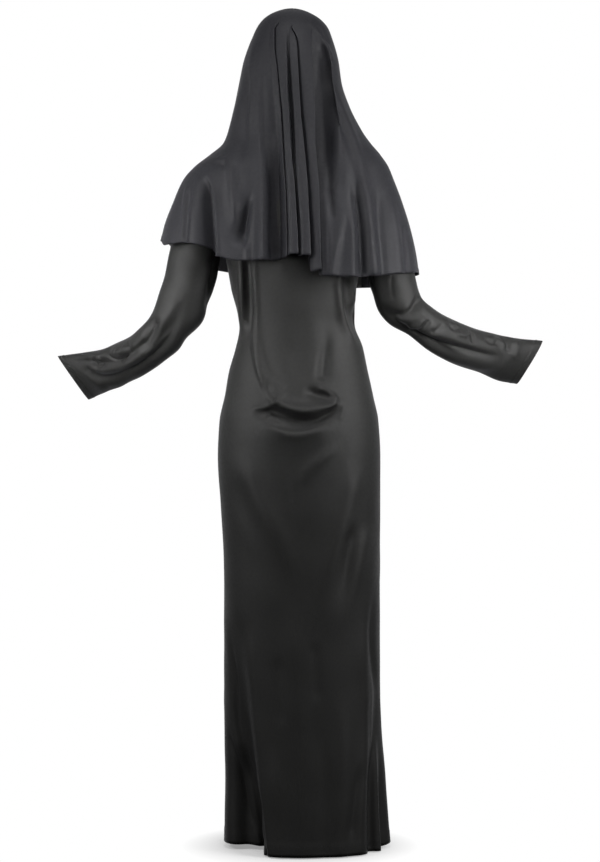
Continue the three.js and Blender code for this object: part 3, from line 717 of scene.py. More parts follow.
# Long folds towards the hem: height, angle and depth at the top, the same at the end, and half the width.
HABIT_FOLDS = (
    (-900, 60, 0, -1408, 52, -66, 15),
    (-950, 42, 3, -1408, 31, 5, 7),
    (-1000, -60, 0, -1408, -56, -13, 5),
    (-1150, -66, 0, -1408, -63, 5, 4),
    (-1150, -74, 0, -1408, -71, -14, 4.5),
    (-1000, -86, 0, -1408, -84, 8, 7),
    (-900, 150, 0, -1408, 152, 11, 13),
    (-900, -168, 0, -1408, -166, -11, 13),
    (-900, -138, 0, -1408, -140, 8, 12),
)
BACK_FOLDS = (
    Fold(((118, -190), (119, -300), (118, -380)), 7, 4),
    Fold(((108, -190), (107, -300), (102, -400)), 7, -7),
    Fold(((98, -190), (93, -300), (89, -365), (75, -457), (55, -503), (44, -515)), 9, 8),
    Fold(((70, -400), (58, -450), (30, -492)), 14, -5, fade_in=0.7),
    Fold(((-77, -190), (-79, -284), (-83, -345), (-101, -386), (-122, -420)), 9, 7),
    Fold(((-89, -190), (-91, -284), (-98, -350)), 7, -6),
    Fold(((-99, -190), (-103, -284), (-112, -335)), 7, 4),
    Fold(((-54, -280), (-57, -371), (-47, -467)), 18, -3, fade_in=0.6, fade_out=0.5),
    Fold(((-2, -492), (-30, -496), (-66, -511)), 10, -10, fade_in=0.4, fade_out=0.15),
    Fold(((64, -486), (40, -515), (-16, -529), (-50, -521), (-84, -502)), 13, 13),
    Fold(((96, -536), (62, -533), (38, -537), (12, -550), (-34, -548), (-86, -517)), 11, -11),
    Fold(
        ((98, -528), (62, -562), (6, -577), (-44, -566), (-94, -534)),
        20, 9, lean=0.6, fade_in=0.35, fade_out=0.35,
    ),
    Fold(((-81, -585), (-35, -633), (20, -690)), 16, 4, fade_in=0.5, fade_out=0.6),
    Fold(((122, -600), (87, -700), (37, -792), (0, -903)), 24, 4, fade_out=0.6),
    Fold(((-122, -620), (-91, -741), (-55, -873), (-41, -980)), 20, 4, fade_out=0.6),
    Fold(((-108, -745), (-95, -840), (-78, -940)), 12, -4, fade_out=0.6),
    Fold(((-142, -745), (-112, -857), (-82, -970)), 14, 4, fade_out=0.6),
)
# The creases on those folds, and the finer ones of the skirt.
BACK_CREASES = (
    Fold(((116, -236), (116, -292), (116, -371)), 3, 2, fade_in=0),
    Fold(
        ((91, -236), (87, -311), (85, -371), (81, -414), (73, -454), (63, -485)),
        4, 2, fade_in=0, crisp=1.4,
    ),
    Fold(((106, -236), (102, -292), (100, -341), (98, -400)), 10, -11, fade_in=0, fade_out=0.6),
    Fold(((75, -458), (63, -487), (49, -511)), 4.5, -5, fade_in=0.5, fade_out=0.1),
    Fold(((59, -461), (45, -485), (30, -509)), 10, 4, fade_in=0.4),
    Fold(((-73, -272), (-79, -311), (-91, -355), (-109, -394)), 5, 1.5, fade_in=0.05),
    Fold(((-95, -280), (-101, -315), (-109, -351), (-114, -386)), 10, -7, fade_in=0, fade_out=0.6),
    Fold(((-110, -280), (-114, -327), (-120, -367)), 3, 2, fade_in=0.05),
    Fold(((-12, -282), (-18, -371), (-12, -454)), 16, 1.2),
    Fold(((14, -351), (12, -410), (4, -465)), 12, -1.2),
    Fold(
        ((-53, -361), (-51, -420), (-45, -475)),
        8, -7, end_width=13, end_depth=-10, fade_in=0.8, fade_out=0.15,
    ),
    Fold(((-32, -483), (-45, -487), (-61, -497), (-77, -511)), 5, 5.5, fade_in=0.2, fade_out=0.3),
    Fold(((97, -525), (75, -525), (53, -517), (40, -507)), 4, 3.5),
    Fold(((67, -538), (53, -544), (38, -554)), 5, 3),
    Fold(
        ((85, -536), (67, -556), (43, -570), (14, -578), (-18, -574), (-51, -558), (-83, -540)),
        10, 3, fade_in=0.3, fade_out=0.35,
    ),
    Fold(((-85, -517), (-83, -536), (-77, -552)), 4, 2),
    Fold(((-83, -590), (-59, -612), (-34, -631), (4, -667)), 9, 2.5, fade_in=0.4, fade_out=0.6),
    Fold(((118, -612), (85, -696), (40, -785), (12, -898)), 16, 2, fade_out=0.7),
    Fold(((134, -647), (107, -726), (67, -817), (40, -923)), 16, -1.5, fade_out=0.7),
    Fold(((-118, -637), (-89, -736), (-53, -864), (-40, -959)), 14, 2.5, fade_out=0.7),
    Fold(((-103, -760), (-91, -825), (-79, -912)), 12, -1.5, fade_out=0.7),
    Fold(((-134, -760), (-110, -848), (-87, -947)), 12, 1.5, fade_out=0.7),
    Fold(((45, -1012), (42, -1081), (36, -1156)), 11, -1.5),
    Fold(((-28, -983), (-32, -1042), (-34, -1109)), 11, -1.5),
    Fold(((20, -904), (8, -1062), (0, -1239), (4, -1397)), 22, 3, fade_out=0),
    Fold(((-43, -1140), (-51, -1259), (-49, -1401)), 16, -3, fade_in=0.4, fade_out=0),
    Fold(
        ((143, -953), (128, -1081), (123, -1154), (104, -1229), (84, -1302), (69, -1405)),
        7, -5, fade_in=0.3, fade_out=0, lean=0.3,
    ),
    Fold(
        ((154, -923), (136, -1062), (132, -1160), (112, -1239), (93, -1310), (79, -1397)),
        8, 3, fade_in=0.3, fade_out=0,
    ),
    Fold(
        ((146, -1164), (138, -1194), (118, -1263), (104, -1322), (79, -1381), (69, -1407)),
        5, -4, fade_in=0.2, fade_out=0,
    ),
    Fold(((55, -1180), (47, -1279), (40, -1405)), 16, 4, fade_in=0.4, fade_out=0),
    Fold(((122, -1190), (112, -1279), (105, -1405)), 18, -13, fade_in=0.4, fade_out=0),
    Fold(
        ((-152, -858), (-143, -983), (-154, -1111), (-150, -1180), (-142, -1253), (-140, -1401)),
        7, -5, fade_in=0.25, fade_out=0,
    ),
    Fold(
        ((-130, -904), (-126, -1022), (-132, -1140), (-126, -1259), (-118, -1401)),
        11, 4, fade_in=0.3, fade_out=0,
    ),
    Fold(((-122, -1223), (-110, -1298), (-99, -1381)), 8, -3, fade_in=0.3),
    Fold(((-79, -1081), (-89, -1219), (-79, -1397)), 14, 3, fade_in=0.4, fade_out=0),
)
FRONT_CREASES = (
    Fold(((62, -260), (70, -330), (58, -420)), 9, 4),
    Fold(((-58, -262), (-70, -335), (-62, -430)), 9, 4),
    Fold(((20, -300), (26, -380), (10, -470)), 14, -3),
    Fold(((-96, -320), (-60, -362), (-10, -372)), 9, -3.5),
    Fold(((98, -330), (66, -366), (30, -380)), 9, -3),
    Fold(((-90, -404), (-40, -418), (20, -410)), 10, 3),
    Fold(((90, -470), (30, -500), (-30, -496), (-86, -462)), 14, -4),
    Fold(((84, -496), (20, -530), (-50, -524)), 15, 4),
    Fold(((-70, -560), (-40, -700), (-58, -900)), 20, 4),
    Fold(((60, -580), (76, -760), (58, -960)), 22, 4),
    Fold(((8, -620), (2, -800), (14, -1000)), 18, -4),
    Fold(((-20, -900), (-30, -1120), (-22, -1396)), 16, 6, fade_out=0),
    Fold(((36, -960), (46, -1180), (40, -1396)), 15, -6, fade_out=0),
    Fold(((92, -980), (104, -1200), (106, -1396)), 14, 5, fade_out=0),
    Fold(((-92, -1000), (-98, -1200), (-96, -1396)), 13, -5, fade_out=0),
)


@dataclass
class Habit:
    """The body of the habit: a back and a front that are sewn at the shoulders and the sides."""

    sections: Table = HABIT_SECTIONS
    hem: Curve = HABIT_HEM
    underarm: float = -190
    bottom: float = -1408
    stretch_from: float = -1108  # above this height the rows are level
    neck_half: float = 90
    neck_back: float = 66
    neck_front: float = 72
    neck_z: float = 10
    neck_rise: float = 6
    neck_drop: float = 46
    shoulder_half: float = 150
    shoulder_z: float = -4
    neck_share: float = 0.45
    hem_width: float = 22
    hem_lift: float = 0.5
    side_share: float = 0.3  # the back's folds fade out over this share of its depth
    fold_power: float = 1.4  # how late the long folds deepen towards the hem
    fold_start: float = 0.15  # the share of its length over which a long fold begins

    def long_folds(self, angle: np.ndarray, z: np.ndarray) -> np.ndarray:
        """How far the long folds towards the hem move points outwards.

        Args:
            angle: where round the habit, in degrees from the middle of the back.
            z: the heights.

        Returns:
            The distance for each point.
        """
        total = np.zeros(np.broadcast(angle, z).shape)
        for top_z, top_angle, top_depth, end_z, end_angle, end_depth, width in HABIT_FOLDS:
            down = np.clip((top_z - z) / (top_z - end_z), 0, 1)
            at = top_angle + (end_angle - top_angle) * down
            depth = top_depth + (end_depth - top_depth) * down**self.fold_power
            total += depth * ease(down / self.fold_start) * bell(turn_between(angle, at), width)
        return total

    def points(self, angle: np.ndarray, z: np.ndarray) -> np.ndarray:
        """Points below the underarm, at angles from the middle of the back and heights.

        Args:
            angle: where round the habit, in degrees.
            z: the heights.

        Returns:
            The points, on the folded surface.
        """
        angle, z = np.broadcast_arrays(angle, z)
        s = self.sections.at(z)
        x, y = round_section(s, angle, s["half"], s["middle"])
        behind = ease(np.cos(np.radians(angle)) / self.side_share)
        lift = self.long_folds(angle, z) + behind * sum(f.lift(x, z) for f in BACK_FOLDS)
        size = np.maximum(np.hypot(x - s["middle"], y), 1e-6)
        return np.stack([x + (x - s["middle"]) / size * lift, y + y / size * lift, z], axis=-1)

    def top(self, across: np.ndarray, facing: int) -> np.ndarray:
        """The shoulder seams with the neckline between them, from -1 to 1 across.

        Args:
            across: where along them, from the right to the left.
            facing: 1 for the back and -1 for the front.

        Returns:
            The points.
        """
        middle = self.sections.at(np.array(float(self.underarm)))["middle"]
        side, share = np.sign(across), np.abs(across)
        t = (share - self.neck_share) / (1 - self.neck_share)
        seam_x = middle + side * (self.neck_half + (self.shoulder_half - self.neck_half) * t)
        seam_z = self.neck_z + (self.shoulder_z - self.neck_z) * t
        turn = across / self.neck_share * np.pi / 2
        depth = self.neck_back if facing > 0 else -self.neck_front
        rise = self.neck_rise if facing > 0 else -self.neck_drop
        on_seam = share >= self.neck_share
        x = np.where(on_seam, seam_x, middle + self.neck_half * np.sin(turn))
        y = np.where(on_seam, 0, depth * np.cos(turn))
        z = np.where(on_seam, seam_z, self.neck_z + rise * np.cos(turn) ** 2)
        return np.stack([x, y, z], axis=-1)

    def yoke(self, across: np.ndarray, down: np.ndarray, facing: int) -> np.ndarray:
        """Points above the underarm.

        Args:
            across: from -1 at the right armhole to 1 at the left one.
            down: from 0 at the shoulder to 1 at the underarm, one for each row.
            facing: 1 for the back and -1 for the front.

        Returns:
            Rows of points.
        """
        top = self.top(across, facing)
        angle = across * 90 if facing > 0 else 180 - across * 90
        end = self.points(angle, np.full(across.shape, float(self.underarm)))
        reach = np.linalg.norm(top - end, axis=-1)[:, None]
        armhole = ease((np.abs(across) - 0.7) / 0.3)
        neck = 1 - ease((np.abs(across) - 0.3) / 0.3)
        zero = np.zeros_like(across)
        # The cloth leaves the shoulders level, and the neckline more downwards.
        leave = np.stack([zero, facing * (1 - 0.45 * neck), -0.1 - 0.7 * neck], axis=-1) * reach
        # It arrives at the underarm's height straight down, and from the side at the armholes.
        arrive = np.stack([zero, -facing * armhole, -1 + 0.6 * armhole], axis=-1) * reach
        return curved(top, end, leave, arrive, np.asarray(down, float)[:, None, None])

    def panel(self, angles: np.ndarray, facing: int, yoke_rows: int, heights: np.ndarray) -> Sheet:
        """The back or the front, between two side seams.

        Args:
            angles: its columns, in degrees from the middle of the back.
            facing: 1 for the back and -1 for the front.
            yoke_rows: how many rows stand above the underarm.
            heights: the rows below it, before the last ones lean to the hem.

        Returns:
            The panel's sheet.
        """
        across = angles / 90 if facing > 0 else (180 - angles) / 90
        upper = self.yoke(across, np.arange(yoke_rows) / yoke_rows, facing)
        share = np.clip((self.stretch_from - heights) / (self.stretch_from - self.bottom), 0, 1)[:, None]
        z = heights[:, None] + share * (self.hem(turn_between(angles, 0))[None] - self.bottom)
        points = np.vstack([upper, self.points(angles[None], z)])
        points[..., 1] += facing * SEAM / 2
        return Sheet(points)

    def back(self) -> Sheet:
        """The back, with its creases.

        Returns:
            Its surface.
        """
        heights = stretches((self.underarm, -262, -440, -600, self.bottom), (9, 36, 49, 117))
        sheet = self.panel(np.linspace(-90, 90, 191), 1, 14, heights)
        p = sheet.points
        return self.finished(sheet, folded(BACK_CREASES, p, p[..., 1]) + unevenness(p, 5, 0.5, 100))

    def front(self) -> Sheet:
        """The front, with soft creases of the same kind.

        Returns:
            Its surface.
        """
        heights = stretches((self.underarm, -440, self.bottom), (37, 124))
        sheet = self.panel(np.linspace(90, 270, 121), -1, 22, heights)
        p = sheet.points
        lift = sum(f.lift(p[..., 0], p[..., 2]) for f in FRONT_CREASES)
        return self.finished(sheet, lift + unevenness(p, 8, 0.8, 100))

    def finished(self, sheet: Sheet, lift: np.ndarray) -> Sheet:
        """Puts the creases and the hem on a panel.

        Args:
            sheet: the panel without them.
            lift: how far the creases move each point outwards.

        Returns:
            The panel, unmoved where it is sewn to others.
        """
        across, down = run_along(sheet.points, 1), run_along(sheet.points, 0)
        edge = np.minimum(across, across[:, -1:] - across)
        inside = ease(edge / SEAM_FADE) * ease(down / SEAM_FADE)
        return sheet.moved(lift * inside).turned_hem(self.hem_width, self.hem_lift)


# Sections down the arm: the outer edge's x and z, the inner edge's x and z, the middle's y, half the depth.
LEFT_SLEEVE = (
    (187, -18, 161, -203, 2, 47),
    (212, -40, 162, -214, 4, 51),
    (232, -67, 163, -224, 5, 53),
    (247, -101, 164, -234, 6, 54),
    (256, -142, 165, -246, 8, 54),
    (263, -195, 167, -262, 10, 53),
    (273, -250, 174, -284, 13, 52),
    (285, -293, 184, -312, 16, 50),
    (298, -328, 199, -350, 15, 48),
    (318, -355, 228, -378, 5, 46),
    (346, -380, 262, -407, -15, 44),
    (379, -394, 301, -437, -45, 41),
    (418, -404, 348, -463, -88, 39),
    (462, -408, 398, -486, -134, 36),
    (511, -412, 446, -503, -178, 31),
)
RIGHT_SLEEVE = (
    (-159, -19, -141, -204, 2, 47),
    (-175, -43, -140, -217, 4, 51),
    (-188, -74, -139, -229, 6, 53),
    (-201, -114, -138, -242, 9, 54),
    (-213, -160, -137, -256, 13, 54),
    (-224, -208, -139, -272, 18, 52),
    (-233, -256, -146, -293, 24, 50),
    (-245, -300, -158, -328, 28, 48),
    (-269, -322, -181, -355, 25, 46),
    (-300, -341, -217, -377, 12, 44),
    (-339, -359, -259, -400, -12, 42),
    (-377, -369, -304, -422, -41, 40),
    (-418, -374, -355, -443, -74, 38),
    (-463, -379, -408, -464, -107, 35),
    (-507, -382, -453, -472, -135, 31),
)
# Creases round the arm: the section and angle where each begins and ends, its depth and half its width.
LEFT_SLEEVE_BENDS = (
    (1, 150, 8, 150, -7, 14),
    (8, 95, 15, 40, -9, 20),
    (9, 40, 11, 75, -6, 16),
    (12, 10, 13.6, 80, -3, 18),
    (3, 250, 9, 200, -5, 16),
    (8, 300, 13, 240, -6, 18),
    (10, 215, 14, 280, 4, 16),
)
RIGHT_SLEEVE_BENDS = (
    (1, 155, 7, 155, -5, 12),
    (7.5, 145, 12, 105, -8, 18),
    (8, 30, 9, 100, -6, 18),
    (12.4, 20, 13.8, 110, -3, 18),
    (3, 245, 9, 205, -5, 16),
    (7, 300, 12, 250, -6, 18),
    (10, 220, 14, 290, 4, 16),
)
LEFT_SLEEVE_CREASES = (
    Fold(
        (
            (242, -342), (255, -374), (278, -404), (310, -430), (343, -447),
            (378, -459), (412, -461), (442, -446), (482, -420),
        ),
        8, -10, fade_in=0.3, fade_out=0.3,
    ),
    Fold(((230, -366), (247, -398), (276, -428), (314, -454), (356, -474), (403, -482)), 10, 6),
    Fold(((272, -345), (288, -381), (316, -409), (348, -431), (382, -443)), 8, 5),
    Fold(((288, -340), (305, -375), (331, -401), (360, -418)), 5, -4),
    Fold(((434, -411), (434, -428), (418, -442), (406, -432)), 4, -5),
    Fold(((421, -411), (418, -428)), 4, 3),
    Fold(((397, -408), (386, -422), (365, -424), (350, -410)), 4.5, -5),
    Fold(((382, -406), (367, -410), (354, -396)), 5, 3.5),
    Fold(((354, -386), (346, -400), (348, -417)), 4.5, -2.5),
    Fold(((303, -344), (307, -360), (318, -382)), 4.5, -3),
    Fold(((179, -216), (175, -266), (183, -307), (191, -335)), 7, -3.5),
    Fold(((247, -301), (261, -341), (284, -369)), 10, 2),
    Fold(((403, -494), (425, -469), (447, -444)), 10, 2),
)
RIGHT_SLEEVE_CREASES = (
    Fold(((-177, -331), (-195, -339), (-218, -332), (-232, -316), (-238, -293)), 6.5, -7),
    Fold(((-185, -343), (-203, -351), (-224, -342), (-238, -322)), 7, 3.5),
    Fold(((-209, -367), (-234, -360), (-251, -340)), 6, 4),
    Fold(((-222, -374), (-242, -368), (-263, -345)), 4.5, -4),
    Fold(
        ((-175, -355), (-218, -375), (-259, -390), (-305, -399), (-348, -408), (-390, -416), (-425, -417)),
        8, -9, fade_in=0.3, fade_out=0.3,
    ),
    Fold(((-185, -375), (-234, -400), (-297, -422), (-360, -435), (-421, -438)), 10, 5),
    Fold(((-259, -374), (-278, -367), (-288, -351)), 6, -2.5),
    Fold(((-299, -348), (-310, -364), (-326, -360)), 4.5, -4.5),
    Fold(((-316, -372), (-333, -378), (-348, -368)), 4.5, 4),
    Fold(((-341, -364), (-352, -378), (-350, -394)), 4.5, -4),
    Fold(((-378, -377), (-390, -389), (-410, -387)), 4.5, -3),
    Fold(((-395, -368), (-416, -374), (-429, -388), (-429, -411)), 5, -7),
    Fold(((-442, -378), (-449, -398), (-440, -425)), 8, 2.5),
    Fold(((-183, -256), (-183, -287), (-187, -311)), 4.5, -2),
)


@dataclass
class Sleeve:
    """A set-in sleeve: a tube from the armhole down the arm to a wide plain cuff."""

    side: int  # 1 for the left and -1 for the right
    stations: tuple
    bends: tuple
    creases: tuple[Fold, ...]
    habit: Habit
    around: int = 144
    steps: int = 230
    hem_width: float = 18
    hem_lift: float = 0.45
    cuff_turn: int = 3  # the last sections, which turn square to the cuff
    bend_taper: float = 0.25  # the share of its length over which a bend's crease begins and ends
    armhole_fade: float = 14

    def armhole(self) -> np.ndarray:
        """The loop that the sleeve is sewn to, from the shoulder round and back.

        Returns:
            The loop's points, a seam's gap outside the habit.
        """
        half = self.around // 2
        across = np.array([float(self.side)])
        down = np.arange(half + 1) / half
        edges = {facing: self.habit.yoke(across, down, facing)[:, 0] for facing in (1, -1)}
        first, second = (edges[-1], edges[1]) if self.side > 0 else (edges[1], edges[-1])
        loop = np.vstack([first, second[::-1][1:]])
        return loop + np.array([self.side * SEAM, 0, 0])

    def rings(self) -> tuple[np.ndarray, np.ndarray]:
        """The loops of points at the stations, and the angle of each column by the back.

        Returns:
            The loops, and the angles in degrees.
        """
        s = np.array(self.stations, float)
        middles = np.stack([(s[:, 0] + s[:, 2]) / 2, s[:, 4], (s[:, 1] + s[:, 3]) / 2], axis=-1)
        turn = np.arange(self.around + 1) / self.around * 360
        by_back = 360 - turn if self.side > 0 else turn
        rings = [self.armhole()]
        last = len(s) - 1
        for i, row in enumerate(s):
            ahead = middles[min(i + 1, last)] - middles[max(i - 1, 0)]
            ahead /= np.linalg.norm(ahead)
            across = np.array([(row[0] - row[2]) / 2, 0, (row[1] - row[3]) / 2])
            backward = np.cross(across, ahead)
            backward /= np.linalg.norm(backward) * (1 if backward[1] >= 0 else -1)
            to_cuff = np.clip((i + 1 + self.cuff_turn - len(s)) / self.cuff_turn, 0, 1)
            backward = backward * (1 - to_cuff) + np.array([0, 1, 0]) * to_cuff
            backward *= row[5] / np.linalg.norm(backward)
            wave = np.radians(by_back)[:, None]
            rings.append(middles[i] + across * np.cos(wave) + backward * np.sin(wave))
        return np.array(rings), by_back

    def sheet(self) -> Sheet:
        """The sleeve's surface, with its creases.

        Returns:
            The surface, closed all the way down.
        """
        rings, by_back = self.rings()
        count = len(rings)
        run = run_along(rings.mean(axis=1), 0)
        places = np.linspace(0, run[-1], self.steps)
        along = np.interp(places, run, np.arange(count))
        slopes = np.gradient(rings, axis=0)
        i = np.clip(along.astype(int), 0, count - 2)
        points = curved(rings[i], rings[i + 1], slopes[i], slopes[i + 1], (along - i)[:, None, None])
        sheet = Sheet(points, closed_rows=self.steps)
        lift = np.zeros(points.shape[:2])
        for start, start_angle, end, end_angle, depth, width in self.bends:
            share = np.clip((along - start) / (end - start), 0, 1)[:, None]
            at = start_angle + (end_angle - start_angle) * share
            taper = ease(share / self.bend_taper) * ease((1 - share) / self.bend_taper)
            lift += depth * taper * bell(turn_between(by_back[None], at), width)
        middle = points[:, :-1, 1].mean(axis=1, keepdims=True)
        lift += folded(self.creases, points, points[..., 1] - middle)
        lift += unevenness(points, 20 + self.side, 0.8, 70)
        lift *= ease(places / self.armhole_fade)[:, None]
        return sheet.moved(lift).turned_hem(self.hem_width, self.hem_lift)


@dataclass(frozen=True)
class PleatLine:
    """One line down the pleats of the veil: an edge, a crest or the bottom of a gap.

    places and depths give its place across and how far it stands out at heights, in millimetres.
    """

    column: float
    places: tuple[tuple[float, float], ...]
    depths: tuple[tuple[float, float], ...]

    def across(self, z: np.ndarray) -> np.ndarray:
        """Its place across at heights."""
        heights, places = zip(*self.places)
        return Curve(heights, places)(z)

    def lift(self, z: np.ndarray) -> np.ndarray:
        """How far it stands out at heights."""
        heights, depths = zip(*self.depths)
        return Curve(heights, depths)(z)


VEIL_SECTIONS = Table(
    "left right back front square",
    (
        (288, 17, 17, 0, 0, 2),
        (284, 41, -7, 12, 42, 2),
        (276, 60, -25, 29, 62, 2),
        (264, 76, -43, 46, 80, 2),
        (246, 89, -58, 63, 95, 2),
        (228, 97, -65, 74, 104, 2),
        (219, 101, -68, 78, 107, 2),
        (203, 107, -73, 84, 110, 2.1),
        (178, 115, -79, 91, 110, 2.1),
        (134, 124, -85, 98, 104, 2.2),
        (85, 134, -101, 103, 98, 2.3),
        (36, 146, -126, 108, 96, 2.3),
        (12, 156, -143, 112, 98, 2.3),
        (-12, 183, -164, 117, 103, 2.3),
        (-37, 215, -181, 122, 112, 2.4),
        (-61, 236, -191, 127, 121, 2.4),
        (-110, 258, -209, 135, 134, 2.5),
        (-158, 275, -223, 141, 141, 2.5),
        (-207, 284, -233, 145, 144, 2.5),
        (-272, 288, -242, 147, 144, 2.5),
    ),
    top=288,
)
FACE_EDGE = Table(
    "edge",
    (
        (228, 180),
        (219, 158),
        (203, 143),
        (178, 131),
        (134, 122),
        (85, 119),
        (36, 124),
        (12, 130),
        (-12, 137),
        (-37, 143),
        (-61, 148),
        (-110, 154),
        (-158, 157),
        (-272, 158),
    ),
    top=228,
)
VEIL_HEM = Curve(
    (
        -180, -140, -90, -55, -30, -16.6, -15.4, -15, -11.8, -10.8, -10, -9.2,
        -5.4, -5, -4.3, 0.2, 2, 10, 15, 22, 28, 34, 36, 55, 70, 84, 104, 126, 180,
    ),
    (
        -272, -270, -250, -258, -266, -265, -263, -252, -256, -256, -240, -225,
        -225, -223, -222, -224, -228, -233, -235, -235, -229, -223, -208, -196, -198, -182, -185, -214, -243,
    ),
)
VEIL_FOLDS = (
    Fold(((224, -74), (230, -112), (232, -148), (234, -185)), 4, 3, fade_out=0),
    Fold(((216, -78), (221, -114), (223, -150), (225, -197)), 5, -4, fade_out=0),
    Fold(((199, -57), (201, -94), (209, -148), (213, -197)), 13, 5, fade_out=0),
    Fold(
        ((186, -59), (182, -94), (179, -134), (176, -169), (174, -217)),
        9, -16, end_width=12, end_depth=-32, fade_in=0.3, fade_out=0, lean=0.4,
    ),
    Fold(((188, -49), (180, -76), (172, -112), (167, -165), (163, -225)), 5, 4, fade_out=0),
    Fold(
        ((147, -13), (140, -35), (135, -67), (131, -112), (126, -148), (118, -193)),
        9, 7, fade_in=0.25, fade_out=0.5,
    ),
    Fold(((130, -31), (125, -59), (118, -94)), 8, -3, fade_in=0.4),
    Fold(((167, -23), (160, -30), (151, -32), (143, -30)), 4, 2),
    Fold(((170, -31), (160, -40), (146, -42)), 6, -3),
    Fold(((160, -55), (154, -114), (144, -193)), 13, -4, fade_in=0.4, fade_out=0.4),
    Fold(
        ((96, -94), (101, -124), (107, -157), (112, -189), (116, -213)),
        7, -12, end_width=16, end_depth=-27, fade_in=0.5, fade_out=0.3, lean=0.4,
    ),
    Fold(((89, -84), (89, -144), (90, -236)), 4, 4, fade_in=0.3, fade_out=0),
    Fold(((105, -205), (104, -236)), 6, 4, fade_in=0.3, fade_out=0),
    Fold(((51, 64), (47, -15), (43, -94), (40, -144)), 4, 2, fade_in=0.3, fade_out=0.3),
    Fold(((107, 162), (110, 83), (116, 4), (122, -45)), 14, -6),
    Fold(((93, 222), (97, 162), (101, 83), (103, 14)), 7, 2.4),
    Fold(((63, 162), (63, 83), (61, 4)), 7, 2),
    Fold(((73, 143), (73, 83), (71, -15)), 6, -2),
    Fold(((-38, 216), (-49, 182), (-60, 129), (-65, 99)), 4, -4, fade_out=0.4),
    Fold(((-69, 64), (-77, 24), (-87, -25), (-93, -94)), 12, 4, fade_in=0.5),
    Fold(((-14, 255), (-24, 244), (-38, 230), (-49, 212), (-59, 194), (-69, 172)), 3, 3, crisp=1.5),
    Fold(((-23, 255), (-33, 244), (-46, 228), (-60, 206)), 4, -3, fade_in=0.1),
    Fold(
        (
            (-60, 162), (-70, 121), (-81, 79), (-93, 47), (-107, 8),
            (-120, -51), (-130, -114), (-140, -207), (-146, -252),
        ),
        8, 5, end_width=15, end_depth=9, fade_in=0.3, fade_out=0,
    ),
    Fold(((-67, 103), (-79, 60), (-91, 24), (-101, -5), (-109, -45)), 8, -4, fade_in=0.4, fade_out=0.3),
    Fold(
        ((-110, -59), (-116, -106), (-122, -157), (-126, -256)),
        10, -15, end_depth=-16, fade_in=0.3, fade_out=0, lean=0.3,
    ),
    Fold(((-49, -15), (-51, -74), (-55, -134), (-59, -193), (-61, -264)), 5, 2.5, fade_out=0),
    Fold(((-44, -35), (-47, -94), (-50, -154), (-53, -260)), 3.5, 2, fade_in=0.25, fade_out=0),
    Fold(((-57, -86), (-61, -120), (-63, -157)), 7, -4),
    Fold(((-73, -114), (-70, -150), (-65, -205)), 9, -2),
    Fold(((-85, -136), (-79, -173), (-71, -213), (-65, -262)), 4, 5, fade_in=0.2, fade_out=0),
    Fold(((-93, -138), (-89, -185), (-83, -228), (-79, -266)), 9, -3, fade_in=0.4, fade_out=0),
    Fold(((-103, -134), (-105, -193), (-105, -266)), 8, 3, fade_in=0.3, fade_out=0),
    Fold(((-158, -74), (-158, -156), (-162, -213), (-164, -260)), 10, -7, fade_in=0.3, fade_out=0),
    Fold(((-180, -94), (-186, -144), (-192, -193), (-197, -260)), 10, 5, fade_in=0.3, fade_out=0),
    Fold(((-205, -144), (-211, -193), (-215, -260)), 8, -5, fade_in=0.3, fade_out=0),
)
# Folds in front, out of the picture: the angle, where it begins and is deepest, half its width, its depth.
VEIL_FRONT_FOLDS = (
    (110, -60, -220, 8, -8),
    (-112, -60, -230, 8, -8),
    (135, -40, -220, 8, 5),
    (-135, -40, -230, 8, 5),
    (96, -40, -200, 6, 5),
    (-98, -50, -220, 6, 5),
    (122, -20, -220, 5, -4),
    (-124, -20, -220, 5, -4),
    (152, 40, -200, 7, 4),
    (-154, 40, -200, 7, 4),
)

LEFT_CREST = (
    (258, 60), (231, 75), (194, 81), (105, 83), (56, 83), (6, 80), (-45, 76), (-94, 74), (-236, 73),
)
LEFT_BOTTOM = (
    (258, 50), (231, 61), (194, 62), (154, 60), (105, 57), (56, 54), (6, 52), (-45, 49.5), (-94, 47.5),
    (-236, 44.5),
)
LEFT_CREASE = (
    (258, 39.5), (246, 46.5), (231, 50), (194, 49.4), (154, 44.6), (105, 40), (56, 35.5), (6, 33),
    (-45, 29.9), (-94, 26.6), (-144, 24.8), (-193, 23.7), (-236, 23.7),
)
GAP_LEFT = (
    (231, 25), (194, 26), (154, 25.1), (105, 24.1), (56, 20.8), (6, 18.1), (-45, 14.4), (-94, 10.3),
    (-144, 7.5), (-193, 4.7), (-236, 3.6),
)
GAP_RIGHT = (
    (231, 22.5), (194, 21.7), (154, 19.1), (105, 15.7), (56, 12.4), (6, 10.3), (-45, 8.1), (-94, 5.1),
    (-144, 1.4), (-193, -1), (-236, -1.8),
)
RIGHT_EDGE = (
    (240, 19), (231, 15), (222, 10.5), (213, 7.5), (194, 5.2), (154, 3.4), (105, 0.6), (56, -2.6),
    (6, -7.5), (-45, -11.4), (-94, -14.4), (-144, -16.8), (-193, -19.2), (-236, -20.1),
)
LAST_EDGE = (
    (231, -21.7), (194, -23.6), (154, -26), (105, -28), (56, -29.2), (6, -29.8), (-45, -33.2),
    (-94, -36.9), (-144, -38.2), (-193, -39.5), (-260, -41.5),
)
RIGHT_BOTTOM = (
    (231, -37.5), (194, -46.5), (154, -56), (105, -64), (56, -68), (6, -69), (-45, -67), (-94, -64),
    (-144, -61), (-193, -59), (-260, -59),
)


def beside(line: tuple, offset: float, end_offset: float | None = None) -> tuple:
    """A line moved across by an offset at its top and another at its end.

    Args:
        line: its heights and places.
        offset: the offset at its top.
        end_offset: the offset at its end, where it differs.

    Returns:
        The moved line.
    """
    last = len(line) - 1
    end = offset if end_offset is None else end_offset
    return tuple((z, x + offset + (end - offset) * i / last) for i, (z, x) in enumerate(line))


